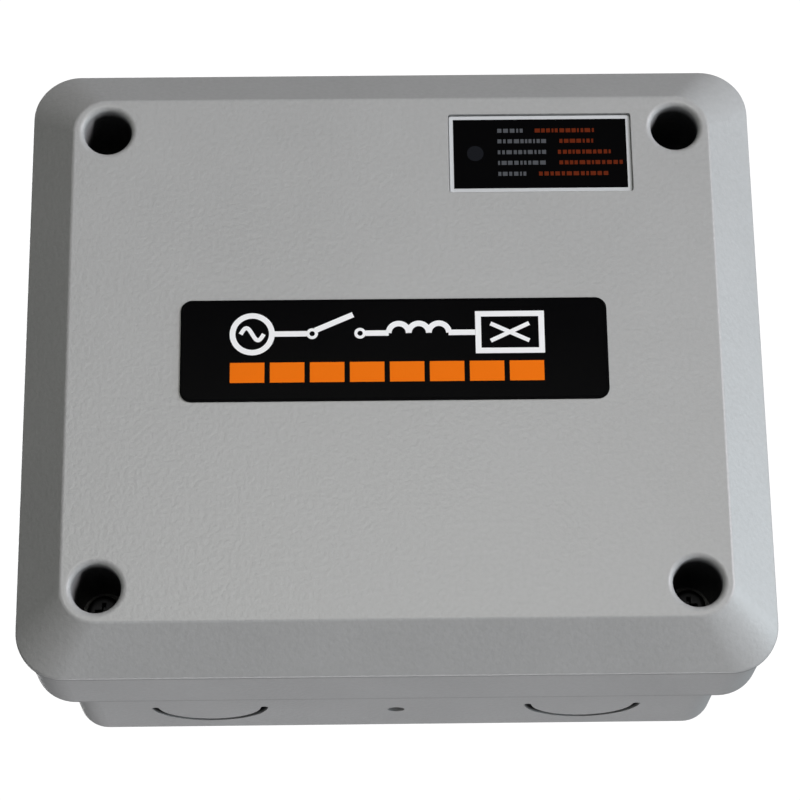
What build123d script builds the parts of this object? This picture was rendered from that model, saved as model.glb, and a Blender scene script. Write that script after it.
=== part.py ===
from build123d import *
import os

# Load-management transfer switch in a wall box, in millimetres.
# X is to the right, Z is up, and the origin is the centre of the back face that lies on the wall.
# The box grows out from the wall along -Y, and a "level" is a distance in front of the wall.

# ------------------------------------------------------------------ driving dimensions: enclosure
wall = 3.0
rear_width, rear_height, rear_corner = 178.0, 153.0, 8.5
rim_width, rim_height, rim_corner = 190.0, 165.0, 11.0
lip_width, lip_height, lip_corner = 193.0, 168.0, 12.5
face_width, face_height, face_corner = 169.0, 144.0, 9.0
step_level = 55.0
rim_level = 84.2
seat_level = 84.6
lip_level = 86.0
face_level = 96.0
rim_wall = 5.0
back_rounding = 1.5
step_rounding = 1.2
back_recess_depth = 0.8
back_recess_margin = 9.0
back_pad_margin = 2.0

gasket_width = 2.2
gasket_inset = 1.4
groove_clearance = 0.1
groove_depth = 2.0
tongue_gap = 0.3
tongue_wall = 2.0
tongue_depth = 3.0
cover_wall = 3.0
lip_rounding = 0.8
face_rounding = 1.2
cavity_width, cavity_height, cavity_corner = 165.0, 140.0, 7.0
rib_wall = 1.6
rib_depth = 3.0
rib_columns = (-28.0, 28.0)
rib_rows = (-24.0, 24.0)

well_column, well_row = 75.5, 63.0
well_radius = 6.3
well_rim_rounding = 1.5
well_tube_radius = 8.3
well_end_level = 66.0
well_floor = 2.5
pillar_radius = 7.0
pillar_level = 65.5
pillar_web = 2.4

knockout_column = 51.0
knockout_level = 24.5
knockout_radius = 15.0
knockout_slot = 1.9
knockout_outer_cut = 2.4
knockout_inner_cut = 1.8
knockout_tab_angle = 6.0
weep_radius = 2.3
weep_level = 19.0

wall_hole_column, wall_hole_row = 79.5, 42.0
wall_hole_radius = 2.75
wall_pad_radius = 6.0
wall_pad_height = 1.5

# ------------------------------------------------------------------ driving dimensions: cover fittings
cover_screw_radius = 2.5
cover_screw_length = 22.0
cover_head_radius = 4.5
cover_head_height = 3.4
drive_width = 1.2
drive_length = 5.4
drive_depth = 1.8
cover_head_rounding = 0.9
cover_screw_point = 0.6
running_gap = 0.05
seal_ring_radius = 3.5
seal_section = 0.9
insert_radius = 3.9
insert_length = 10.0

badge_width, badge_height, badge_corner = 110.5, 28.0, 3.0
badge_thickness = 0.35
window_column, window_row = 39.45, 55.75
window_width, window_height = 48.7, 22.7
window_depth = 1.6
window_corner = 0.6
lens_margin = 0.2
lens_rounding = 0.15
lens_thickness = 0.9
lamp_column, lamp_row = 22.2, 55.9
pipe_radius = 1.9
pipe_flange_radius = 3.4
pipe_flange = 1.0
pipe_foot_radius = 3.0
pipe_foot = 6.0
pipe_gap = 1.0

# ------------------------------------------------------------------ driving dimensions: contactor
contactor_column = -40.0
plate_width, plate_height, plate_corner = 60.0, 114.0, 3.0
plate_thickness = 1.6
plate_level = 6.0
plate_screw_column, plate_screw_row = 22.0, 52.0
plate_screw_length, plate_boss_radius = 5.6, 4.5
pan_head_radius, pan_head_height = 3.2, 2.0
pan_cross_length, pan_cross_width, pan_cross_depth = 4.0, 0.9, 1.0
plate_slot_length = 8.0
block_width, block_height, block_corner = 62.0, 68.0, 2.0
coil_housing_level = plate_level + plate_thickness
coil_cavity_width, coil_cavity_height = 44.0, 50.0
coil_floor = 2.0
coil_cavity_corner = 1.0
tab_slot_reach, tab_slot_side_gap, tab_slot_front_gap = 4.0, 0.8, 0.6
grip_cut, grip_length, grip_width, grip_rise = 3.0, 40.0, 6.0, 12.0
pole_housing_level = 38.0
pole_floor = 2.0
pole_wall, pole_end_wall = 2.5, 3.0
core_opening_side, core_opening_end = 1.4, 3.0
pole_barrier_lift, pole_barrier_start = 2.0, 10.0
arc_cover_level = 76.0
arc_cover_thickness = 3.0
shelf_reach = 13.0
shelf_level = 52.0
barrier_level = 74.0
barrier_wall = 2.4
corner_post = 6.0
housing_screw_column, housing_screw_row = 27.0, 30.0
housing_screw_radius = 1.75
housing_bore_radius = 1.9
housing_head_radius = 3.2
housing_head_height = 2.0
counterbore_depth = 1.5
head_gap = 0.3
housing_slot_width, housing_slot_depth = 1.0, 0.9
tab_hole_gap = 0.6
vent_rows, vent_pitch, vent_length, vent_width, vent_depth = 3, 5.0, 14.0, 2.0, 1.2
arc_cover_chamfer = 0.8

core_stack = 16.0
core_span = 46.0
core_yoke = 7.0
centre_leg = 12.0
core_level = coil_housing_level + coil_floor
core_top_level = 33.6
armature_travel = 5.5
armature_leg = 5.0
bobbin_bore_gap = 0.5
bobbin_wall = 1.0
bobbin_flange, bobbin_flange_corner = 1.2, 1.5
bobbin_width, bobbin_height = 38.0, 31.0
bobbin_level, bobbin_top_level = 17.0, 33.0
winding_inset = 1.0
winding_corner = 3.0

pole_column = 15.0
strap_width, strap_thickness = 10.0, 2.0
strap_level = 54.0
strap_inner_end = 11.0
strap_outer_end = 46.0
strap_slot_gap = 0.2
tip_row = 15.0
tip_size = 6.0
tip_thickness, tip_chamfer = 1.0, 0.3
contact_gap = 3.5
bridge_width, bridge_length, bridge_thickness = 9.0, 38.0, 2.0
bridge_corner = 1.2
carrier_width, carrier_depth = 46.0, 12.0
carrier_top_level = 74.0
carrier_window_width, carrier_window_height = 11.0, 10.0
carrier_chamfer = 0.6
cheek_gap = 0.3
cheek_wall = 3.0
cheek_drop = 7.0
pin_radius = 1.5
ear_reach, ear_width, ear_height = 4.0, 6.0, 9.0
guide_wall, guide_gap = 2.0, 0.4
tab_width, tab_height, tab_length, tab_corner = 8.0, 6.0, 7.0, 1.0

return_spring_column = 18.0
return_spring_radius, return_spring_wire, return_spring_turns = 2.6, 0.4, 5.0
contact_spring_radius, contact_spring_wire, contact_spring_turns = 2.8, 0.35, 5.0

lug_width, lug_depth, lug_height = 14.0, 11.0, 21.0
lug_row = 40.5
lug_window_width, lug_window_height = 10.4, 12.0
lug_screw_radius = 3.5
lug_screw_length = 13.0
lug_screw_level = 62.0
lug_slot_width, lug_slot_depth, lug_edge, lug_screw_edge = 1.3, 2.2, 0.7, 0.5
coil_tab_width, coil_tab_thickness = 6.3, 0.8
coil_tab_row = 8.0
coil_tab_start, coil_tab_end = 17.0, 41.0
coil_tab_hole_radius, coil_tab_hole_inset = 0.9, 4.0

# ------------------------------------------------------------------ driving dimensions: control board
board_left, board_right = 4.0, 70.0
board_bottom, board_top = -40.0, 62.0
board_notch_width, board_notch_height = 8.0, 12.0
board_corner, board_hole_gap = 1.5, 0.4
board_level = 48.0
board_thickness = 1.6
board_posts = ((8.5, -35.5), (65.5, -35.5), (8.5, 57.5), (57.5, 57.5))
post_foot_radius, post_top_radius = 4.5, 3.5
board_screw_radius = 1.2
board_screw_length = 8.0
board_head_radius, board_head_height = 2.4, 1.6
board_cross_length, board_cross_width, board_cross_depth = 3.0, 0.7, 0.9

transformer_place = (26.0, 12.0)
transformer_width, transformer_tall, transformer_stack = 32.0, 27.0, 12.0
transformer_leg = 10.0
transformer_window_width, transformer_window_height = 5.5, 17.0
transformer_lift = 1.0
transformer_coil_width, transformer_coil_stack = 20.4, 26.0
transformer_former_wall, transformer_flange = 0.8, 1.0
transformer_foot_width, transformer_foot_depth, transformer_foot_row = 18.0, 5.0, 10.0
transformer_winding_corner = 2.5
relay_place, relay_size, relay_rounding = (54.0, 35.0), (16.0, 19.0, 15.5), 0.7
capacitors_at = ((50.0, 12.0, 6.2, 18.0), (62.5, 13.0, 4.0, 11.5), (62.0, 1.5, 5.0, 12.5))
capacitor_rounding, score_share, score_width, score_depth = 0.5, 1.3, 0.4, 0.3
chip_place, chip_side, chip_height = (26.0, 40.0), 10.0, 1.5
chip_lift, chip_chamfer = 0.3, 0.25
chip_leads_per_side, chip_lead_pitch = 8, 1.0
lead_width, lead_reach, lead_thickness = 0.45, 1.4, 0.5
resistor_columns, resistor_rows = (38.0, 48.0, 58.0), (-12.0, -16.5, -21.0)
resistor_radius, resistor_length, resistor_lift = 1.15, 6.2, 1.4
resistor_wire, resistor_tail, resistor_tail_end = 0.35, 0.6, 0.8
fuse_place = (19.0, -16.0)
fuse_radius, fuse_length, fuse_lift = 2.4, 20.0, 4.2
fuse_cap_radius, fuse_cap_length = 2.6, 5.0
fuse_glass_wall, fuse_cap_wall = 0.5, 0.5
clip_wall, clip_width, clip_mouth, clip_leg = 0.5, 4.0, 4.0, 4.0
clip_mouth_rise = 2.0
block_pitch, block_depth, block_rise = 5.08, 10.0, 11.5
main_block_place, main_block_poles = (41.2, -33.0), 6
side_block_place, side_block_poles = (10.6, 33.0), 2
entry_width, entry_height, entry_depth = 3.4, 3.8, 6.0
entry_level = 2.2
block_screw_radius, block_screw_depth = 1.8, 2.0
block_screw_gap, block_screw_sink, block_chamfer = 0.2, 1.0, 0.8
block_slot_width, block_slot_depth = 0.7, 0.8
block_screw_level = block_rise - block_screw_depth - block_screw_sink
led_radius, led_base_radius, led_base, led_height = 2.5, 2.9, 1.0, 7.0
led_dome = 2.25
button_place, button_side, button_rise = (34.0, 54.0), 6.0, 3.4
button_cap_radius, button_cap_height, button_travel = 1.75, 3.6, 0.5
button_floor, button_spare, button_chamfer, button_cap_rounding = 0.6, 0.3, 0.3, 0.4
dial_place, dial_body_side, dial_body_rise = (47.0, 53.0), 10.0, 4.6
dial_radius, dial_height, dial_proud = 3.2, 1.9, 0.3
dial_chamfer, dial_floor_gap = 0.4, 0.1
dial_slot_width, dial_slot_length, dial_slot_depth = 0.9, 4.6, 0.8
dial_notch_offset, dial_notch_radius = 1.9, 0.9

# ------------------------------------------------------------------ driving dimensions: ground bar, wiring
bar_place = (37.0, -54.0)
bar_length, bar_width, bar_height = 52.0, 8.0, 8.0
bar_level = 7.0
bar_hole_pitch, bar_holes = 7.0, 5
bar_wire_radius, bar_wire_drop = 2.0, 1.0
bar_chamfer = 0.5
bar_screw_radius, bar_screw_length = 2.0, 4.0
bar_head_radius, bar_head_height, bar_head_rise = 2.8, 1.8, 2.4
bar_slot_width, bar_slot_depth = 0.9, 0.9
bar_mount_offset = 22.0
bar_mount_screw_length, bar_boss_radius = 12.8, 4.0
pilot_spare = 0.2
boot_width, boot_thickness, boot_length, boot_slot = 8.0, 3.8, 15.0, 0.2
boot_corner, boot_end_gap = 1.2, 0.3
boot_start = -7.0
coil_wire_radius, coil_wire_bend, coil_wire_turn_row = 1.3, 6.0, -48.0
wire_end_gap, strap_wire_gap = 1.0, 0.1
sense_wire_radius, sense_wire_bend = 0.9, 4.0
sense_wire_row, sense_wire_column = 52.0, -7.5
sense_row_step, sense_column_step = 4.0, 3.5

# ------------------------------------------------------------------ worked out from the above
well_points = [(x, z) for x in (-well_column, well_column) for z in (-well_row, well_row)]
well_floor_level = well_end_level + well_floor
cover_head_level = well_floor_level + 2 * seal_section
pocket_level = face_level - window_depth
cover_inner_level = face_level - cover_wall
board_front = board_level + board_thickness
strap_front = strap_level + strap_thickness
sill_level = strap_front + 2 * tip_thickness + contact_gap
bridge_front = sill_level + bridge_thickness
carrier_level = core_top_level + armature_travel + armature_leg + core_yoke
pin_level = carrier_level - core_yoke / 2
cheek_outside = core_stack / 2 + cheek_gap + cheek_wall
outer_leg = 7.0
outer_leg_row = (core_span - outer_leg) / 2
on_top = (Align.CENTER, Align.CENTER, Align.MIN)
from_top = (Align.CENTER, Align.CENTER, Align.MAX)
poles = [(contactor_column + side * pole_column) for side in (-1, 1)]


def level(distance):
    """The plane this far in front of the wall that faces the front; its local axes are X and Z."""
    return Plane.XZ.offset(distance)


def save(piece, name):
    """Labels a finished piece with its node name and writes it as one STEP file."""
    piece.label = name
    export_step(piece, f"parts/{name}.step")


os.makedirs("parts", exist_ok=True)

# ------------------------------------------------------------------ enclosure base
# the knockout slots' centre lines, seen from below with the front upwards
slot_angle = 180 - 2 * knockout_tab_angle
rear_arc = CenterArc((0, 0), knockout_radius, 180 + knockout_tab_angle, slot_angle)
front_arc = CenterArc((0, 0), knockout_radius, knockout_tab_angle, slot_angle)

with BuildPart() as enclosure_base:
    with BuildSketch(level(0)):
        RectangleRounded(rear_width, rear_height, rear_corner)
    extrude(amount=step_level)
    fillet(enclosure_base.faces().sort_by(Axis.Y)[-1].edges(), back_rounding)
    with BuildSketch(level(step_level)):
        RectangleRounded(rim_width, rim_height, rim_corner)
    extrude(amount=rim_level - step_level)
    step_face = enclosure_base.faces().filter_by(Axis.Y).sort_by(Axis.Y)[1]
    fillet(step_face.outer_wire().edges(), step_rounding)
    # the hollow: the rear chamber, then the wider front chamber above the step
    with BuildSketch(level(wall)):
        RectangleRounded(rear_width - 2 * wall, rear_height - 2 * wall, rear_corner - wall)
    extrude(amount=rim_level - wall, mode=Mode.SUBTRACT)
    with BuildSketch(level(step_level + wall)):
        RectangleRounded(rim_width - 2 * rim_wall, rim_height - 2 * rim_wall, rim_corner - rim_wall)
    extrude(amount=rim_level - step_level - wall, mode=Mode.SUBTRACT)
    # the groove that holds the gasket in the rim
    groove_inset = gasket_inset - groove_clearance
    groove_width = gasket_width + 2 * groove_clearance
    with BuildSketch(level(rim_level)):
        RectangleRounded(
            rim_width - 2 * groove_inset, rim_height - 2 * groove_inset, rim_corner - groove_inset
        )
        inner = groove_inset + groove_width
        RectangleRounded(
            rim_width - 2 * inner, rim_height - 2 * inner, rim_corner - inner, mode=Mode.SUBTRACT
        )
    extrude(amount=-groove_depth, mode=Mode.SUBTRACT)
    # the back is relieved, so the box bears on its border and on the pads around the wall holes
    with BuildSketch(level(0)):
        RectangleRounded(
            rear_width - 2 * back_recess_margin, rear_height - 2 * back_recess_margin, rear_corner
        )
        with GridLocations(2 * wall_hole_column, 2 * wall_hole_row, 2, 2):
            Circle(wall_pad_radius + back_pad_margin, mode=Mode.SUBTRACT)
    extrude(amount=back_recess_depth, mode=Mode.SUBTRACT)
    # screw pillars and the webs that tie them to the walls
    with BuildSketch(level(wall)):
        with Locations(*well_points):
            Circle(pillar_radius)
    extrude(amount=pillar_level - wall)
    side_web = rear_width / 2 - wall / 2 - well_column
    top_web = rear_height / 2 - wall / 2 - well_row
    with BuildSketch(level(wall)):
        with GridLocations(2 * well_column + side_web, 2 * well_row, 2, 2):
            Rectangle(side_web, pillar_web)
        with GridLocations(2 * well_column, 2 * well_row + top_web, 2, 2):
            Rectangle(pillar_web, top_web)
    extrude(amount=step_level - wall)
    with BuildSketch(level(pillar_level)):
        with Locations(*well_points):
            Circle(insert_radius)
    extrude(amount=-insert_length, mode=Mode.SUBTRACT)
    with BuildSketch(level(pillar_level)):
        with Locations(*well_points):
            Circle(cover_screw_radius + 6 * running_gap)
    extrude(amount=-2 * insert_length, mode=Mode.SUBTRACT)
    # bosses: contactor plate, board posts, ground bar
    with BuildSketch(level(wall)):
        with Locations((contactor_column, 0)):
            with GridLocations(2 * plate_screw_column, 2 * plate_screw_row, 2, 2):
                Circle(plate_boss_radius)
    extrude(amount=plate_level - wall)
    with BuildSketch(level(wall)):
        with Locations(bar_place):
            with GridLocations(2 * bar_mount_offset, 0, 2, 1):
                Circle(bar_boss_radius)
    extrude(amount=bar_level - wall)
    for place in board_posts:
        with BuildSketch(level(wall)):
            with Locations(place):
                Circle(post_foot_radius)
        with BuildSketch(level(board_level)):
            with Locations(place):
                Circle(post_top_radius)
        loft()
    # pilot holes in the bosses
    with BuildSketch(level(plate_level)):
        with Locations((contactor_column, 0)):
            with GridLocations(2 * plate_screw_column, 2 * plate_screw_row, 2, 2):
                Circle(housing_screw_radius)
    extrude(amount=plate_thickness - plate_screw_length - pilot_spare, mode=Mode.SUBTRACT)
    with BuildSketch(level(bar_level)):
        with Locations(bar_place):
            with GridLocations(2 * bar_mount_offset, 0, 2, 1):
                Circle(housing_screw_radius)
    extrude(amount=bar_height - bar_mount_screw_length - pilot_spare, mode=Mode.SUBTRACT)
    with BuildSketch(level(board_level)):
        with Locations(*board_posts):
            Circle(board_screw_radius + running_gap)
    extrude(amount=-board_screw_length, mode=Mode.SUBTRACT)
    # wall holes through raised pads
    with BuildSketch(level(wall)):
        with GridLocations(2 * wall_hole_column, 2 * wall_hole_row, 2, 2):
            Circle(wall_pad_radius)
    extrude(amount=wall_pad_height)
    with BuildSketch(level(0)):
        with GridLocations(2 * wall_hole_column, 2 * wall_hole_row, 2, 2):
            Circle(wall_hole_radius)
    extrude(amount=wall + wall_pad_height, mode=Mode.SUBTRACT)
    # two closed knockouts: a slot outside around the rear half, a slot inside around the front half
    for x in (-knockout_column, knockout_column):
        underside = Plane(
            origin=(x, -knockout_level, -rear_height / 2), x_dir=(1, 0, 0), z_dir=(0, 0, -1)
        )
        with BuildSketch(underside):
            SlotArc(rear_arc, knockout_slot)
        extrude(amount=-knockout_outer_cut, mode=Mode.SUBTRACT)
        with BuildSketch(underside.offset(-wall)):
            SlotArc(front_arc, knockout_slot)
        extrude(amount=knockout_inner_cut, mode=Mode.SUBTRACT)
    # weep hole in the middle of the bottom wall
    with BuildSketch(Plane(origin=(0, -weep_level, -rear_height / 2), x_dir=(1, 0, 0), z_dir=(0, 0, -1))):
        Circle(weep_radius)
    extrude(amount=-wall, mode=Mode.SUBTRACT)
save(enclosure_base.part, "enclosure_base")

# ------------------------------------------------------------------ cover gasket
with BuildPart() as cover_gasket:
    with BuildSketch(level(rim_level - groove_depth)):
        RectangleRounded(
            rim_width - 2 * gasket_inset, rim_height - 2 * gasket_inset, rim_corner - gasket_inset
        )
        inner = gasket_inset + gasket_width
        RectangleRounded(
            rim_width - 2 * inner, rim_height - 2 * inner, rim_corner - inner, mode=Mode.SUBTRACT
        )
    extrude(amount=seat_level - rim_level + groove_depth)
save(cover_gasket.part, "cover_gasket")

# ------------------------------------------------------------------ front cover
tongue_width = rim_width - 2 * rim_wall - 2 * tongue_gap
tongue_height = rim_height - 2 * rim_wall - 2 * tongue_gap
tongue_corner = rim_corner - rim_wall - tongue_gap
with BuildPart() as front_cover:
    with BuildSketch(level(seat_level)):
        RectangleRounded(lip_width, lip_height, lip_corner)
    extrude(amount=lip_level - seat_level)
    with BuildSketch(level(lip_level)):
        RectangleRounded(lip_width, lip_height, lip_corner)
    with BuildSketch(level(face_level)):
        RectangleRounded(face_width, face_height, face_corner)
    loft()
    fillet(front_cover.faces().sort_by(Axis.Y)[0].edges(), face_rounding)
    lip_edges = front_cover.edges().filter_by(lambda edge: abs(edge.center().Y + lip_level) < 0.01)
    fillet(lip_edges, lip_rounding)
    # the tongue that locates the cover inside the rim
    with BuildSketch(level(seat_level)):
        RectangleRounded(tongue_width, tongue_height, tongue_corner)
    extrude(amount=-tongue_depth)
    hollow_width, hollow_height = tongue_width - 2 * tongue_wall, tongue_height - 2 * tongue_wall
    hollow_corner = tongue_corner - tongue_wall
    with BuildSketch(level(seat_level - tongue_depth)):
        RectangleRounded(hollow_width, hollow_height, hollow_corner)
    extrude(amount=tongue_depth, mode=Mode.SUBTRACT)
    with BuildSketch(level(seat_level)):
        RectangleRounded(hollow_width, hollow_height, hollow_corner)
    with BuildSketch(level(cover_inner_level)):
        RectangleRounded(cavity_width, cavity_height, cavity_corner)
    loft(mode=Mode.SUBTRACT)
    # stiffening ribs under the face
    with BuildSketch(level(cover_inner_level)):
        for x in rib_columns:
            with Locations((x, 0)):
                Rectangle(rib_wall, cavity_height)
        for z in rib_rows:
            with Locations((0, z)):
                Rectangle(cavity_width, rib_wall)
    extrude(amount=-rib_depth)
    # screw wells
    with BuildSketch(level(well_end_level)):
        with Locations(*well_points):
            Circle(well_tube_radius)
    extrude(amount=cover_inner_level - well_end_level)
    with BuildSketch(level(face_level)):
        with Locations(*well_points):
            Circle(well_radius)
    extrude(amount=well_floor_level - face_level, mode=Mode.SUBTRACT)
    mouths = front_cover.faces().sort_by(Axis.Y)[0].edges().filter_by(GeomType.CIRCLE)
    fillet([mouth for mouth in mouths if abs(mouth.radius - well_radius) < 0.01], well_rim_rounding)
    with BuildSketch(level(well_end_level)):
        with Locations(*well_points):
            Circle(cover_screw_radius + 2 * running_gap)
    extrude(amount=well_floor, mode=Mode.SUBTRACT)
    # window pocket, and the hole for the light pipe in its floor
    with BuildSketch(level(face_level)):
        with Locations((window_column, window_row)):
            RectangleRounded(window_width, window_height, window_corner)
    extrude(amount=-window_depth, mode=Mode.SUBTRACT)
    with BuildSketch(level(cover_inner_level)):
        with Locations((lamp_column, lamp_row)):
            Circle(pipe_radius + running_gap)
    extrude(amount=cover_wall, mode=Mode.SUBTRACT)
save(front_cover.part, "front_cover")

# ------------------------------------------------------------------ cover screws, seals and inserts
screw_names = {
    "cover_screw_upper_left": (-well_column, well_row),
    "cover_screw_upper_right": (well_column, well_row),
    "cover_screw_lower_left": (-well_column, -well_row),
    "cover_screw_lower_right": (well_column, -well_row),
}
for name, (x, z) in screw_names.items():
    with BuildPart(level(cover_head_level)) as cover_screw:
        with Locations((x, z)):
            Cylinder(cover_head_radius, cover_head_height, align=on_top)
        fillet(cover_screw.faces().sort_by(Axis.Y)[0].edges(), cover_head_rounding)
        with Locations((x, z)):
            Cylinder(cover_screw_radius, cover_screw_length, align=from_top)
        chamfer(cover_screw.faces().sort_by(Axis.Y)[-1].edges(), cover_screw_point)
        with Locations((x, z, cover_head_height)):
            Box(drive_length, drive_width, drive_depth, align=from_top, mode=Mode.SUBTRACT)
            Box(drive_width, drive_length, drive_depth, align=from_top, mode=Mode.SUBTRACT)
    save(cover_screw.part, name)

with BuildPart(level(well_floor_level + seal_section)) as screw_seal_rings:
    with Locations(*well_points):
        Torus(seal_ring_radius, seal_section)
save(screw_seal_rings.part, "screw_seal_rings")

with BuildPart(level(pillar_level)) as threaded_inserts:
    with Locations(*well_points):
        Cylinder(insert_radius, insert_length, align=from_top)
        Cylinder(cover_screw_radius + running_gap, insert_length, align=from_top, mode=Mode.SUBTRACT)
save(threaded_inserts.part, "threaded_inserts")

# ------------------------------------------------------------------ badge, status window, light pipe
with BuildPart() as front_badge:
    with BuildSketch(level(face_level)):
        RectangleRounded(badge_width, badge_height, badge_corner)
    extrude(amount=badge_thickness)
save(front_badge.part, "front_badge")

with BuildPart() as status_window:
    with BuildSketch(level(pocket_level)):
        with Locations((window_column, window_row)):
            RectangleRounded(window_width - 2 * lens_margin, window_height - 2 * lens_margin, window_corner)
    extrude(amount=lens_thickness)
    fillet(status_window.faces().sort_by(Axis.Y)[0].edges(), lens_rounding)
save(status_window.part, "status_window")

led_top_level = board_front + led_height
pipe_level = led_top_level + pipe_gap
with BuildPart(level(pipe_level)) as light_pipe:
    with Locations((lamp_column, lamp_row)):
        Cone(pipe_foot_radius, pipe_radius, pipe_foot, align=on_top)
        Cylinder(pipe_radius, pocket_level - pipe_level, align=on_top)
    with Locations((lamp_column, lamp_row, cover_inner_level - pipe_level)):
        Cylinder(pipe_flange_radius, pipe_flange, align=from_top)
save(light_pipe.part, "light_pipe")

# ------------------------------------------------------------------ contactor: plate and housings
with BuildPart() as contactor_plate:
    with BuildSketch(level(plate_level)):
        with Locations((contactor_column, 0)):
            RectangleRounded(plate_width, plate_height, plate_corner)
            with GridLocations(2 * plate_screw_column, 2 * plate_screw_row, 2, 2):
                SlotOverall(plate_slot_length, 2 * housing_bore_radius, mode=Mode.SUBTRACT)
            with GridLocations(2 * housing_screw_column, 2 * housing_screw_row, 2, 2):
                Circle(housing_screw_radius + running_gap, mode=Mode.SUBTRACT)
    extrude(amount=plate_thickness)
save(contactor_plate.part, "contactor_plate")

with BuildPart() as coil_housing:
    with BuildSketch(level(coil_housing_level)):
        with Locations((contactor_column, 0)):
            RectangleRounded(block_width, block_height, block_corner)
    extrude(amount=pole_housing_level - coil_housing_level)
    with BuildSketch(level(core_level)):
        with Locations((contactor_column, 0)):
            RectangleRounded(coil_cavity_width, coil_cavity_height, coil_cavity_corner)
    extrude(amount=pole_housing_level - core_level, mode=Mode.SUBTRACT)
    with BuildSketch(level(coil_housing_level)):
        with Locations((contactor_column, 0)):
            with GridLocations(2 * housing_screw_column, 2 * housing_screw_row, 2, 2):
                Circle(housing_bore_radius)
    extrude(amount=pole_housing_level - coil_housing_level, mode=Mode.SUBTRACT)
    # slots in the right wall for the coil tabs, and finger grooves along both sides
    for z in (-coil_tab_row, coil_tab_row):
        with Locations(level(bobbin_top_level + coil_tab_thickness / 2)):
            with Locations((contactor_column + block_width / 2 - tab_slot_reach, z)):
                Box(
                    3 * tab_slot_reach,
                    coil_tab_width + tab_slot_side_gap,
                    coil_tab_thickness + tab_slot_front_gap,
                    mode=Mode.SUBTRACT,
                )
    for side in (-1, 1):
        with Locations(level(coil_housing_level + grip_rise)):
            with Locations((contactor_column + side * block_width / 2, 0)):
                Box(grip_cut, grip_length, grip_width, mode=Mode.SUBTRACT)
save(coil_housing.part, "coil_housing")

chamber_width, chamber_height = block_width - 2 * pole_wall, block_height - 2 * pole_end_wall
with BuildPart() as pole_housing:
    with BuildSketch(level(pole_housing_level)):
        with Locations((contactor_column, 0)):
            RectangleRounded(block_width, block_height, block_corner)
    extrude(amount=arc_cover_level - pole_housing_level)
    with BuildSketch(level(pole_housing_level)):
        with Locations((contactor_column, 0)):
            Rectangle(block_width, block_height + 2 * shelf_reach)
    extrude(amount=shelf_level - pole_housing_level)
    # terminal barriers
    with BuildSketch(level(shelf_level)):
        with Locations((contactor_column, 0)):
            with GridLocations(block_width / 2 - barrier_wall / 2, block_height + shelf_reach, 3, 2):
                Rectangle(barrier_wall, shelf_reach)
    extrude(amount=barrier_level - shelf_level)
    # contact chamber, with posts in its corners for the long screws
    with BuildSketch(level(pole_housing_level + pole_floor)):
        with Locations((contactor_column, 0)):
            Rectangle(chamber_width, chamber_height)
            with GridLocations(block_width - corner_post, block_height - corner_post, 2, 2):
                Rectangle(corner_post + 1, corner_post + 1, mode=Mode.SUBTRACT)
    extrude(amount=arc_cover_level - pole_housing_level - pole_floor, mode=Mode.SUBTRACT)
    # opening in the floor for the moving core and the carrier's cheeks
    with BuildSketch(level(pole_housing_level)):
        with Locations((contactor_column, 0)):
            Rectangle(2 * cheek_outside + core_opening_side, core_span + core_opening_end)
    extrude(amount=pole_floor, mode=Mode.SUBTRACT)
    # ledges under the terminal straps
    ledge_depth = (chamber_height - core_span - core_opening_end) / 2
    with BuildSketch(level(pole_housing_level + pole_floor)):
        with Locations((contactor_column, 0)):
            with GridLocations(2 * pole_column, chamber_height - ledge_depth, 2, 2):
                Rectangle(strap_width, ledge_depth)
    extrude(amount=strap_level - pole_housing_level - pole_floor)
    # barrier between the two poles, above the moving core
    with BuildSketch(level(carrier_level + pole_barrier_lift)):
        with Locations((contactor_column, 0)):
            with GridLocations(0, chamber_height / 2 + pole_barrier_start, 1, 2):
                Rectangle(barrier_wall, chamber_height / 2 - pole_barrier_start)
    extrude(amount=arc_cover_level - carrier_level - pole_barrier_lift)
    # guide ribs on the side walls for the carrier's ears
    guide_reach = chamber_width / 2 - carrier_width / 2 - 1
    with BuildSketch(level(pole_housing_level + pole_floor)):
        with Locations((contactor_column, 0)):
            with GridLocations(chamber_width - guide_reach, ear_width + guide_wall + guide_gap, 2, 2):
                Rectangle(guide_reach, guide_wall)
    extrude(amount=barrier_level - pole_housing_level - pole_floor)
    # slots in the end walls for the straps
    for x in poles:
        with Locations(level(strap_level)):
            with Locations((x, 0)):
                Box(
                    strap_width + 2 * strap_slot_gap,
                    block_height,
                    strap_thickness + strap_slot_gap,
                    align=on_top,
                    mode=Mode.SUBTRACT,
                )
    with BuildSketch(level(pole_housing_level)):
        with Locations((contactor_column, 0)):
            with GridLocations(2 * housing_screw_column, 2 * housing_screw_row, 2, 2):
                Circle(housing_bore_radius)
    extrude(amount=arc_cover_level - pole_housing_level, mode=Mode.SUBTRACT)
save(pole_housing.part, "pole_housing")

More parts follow.
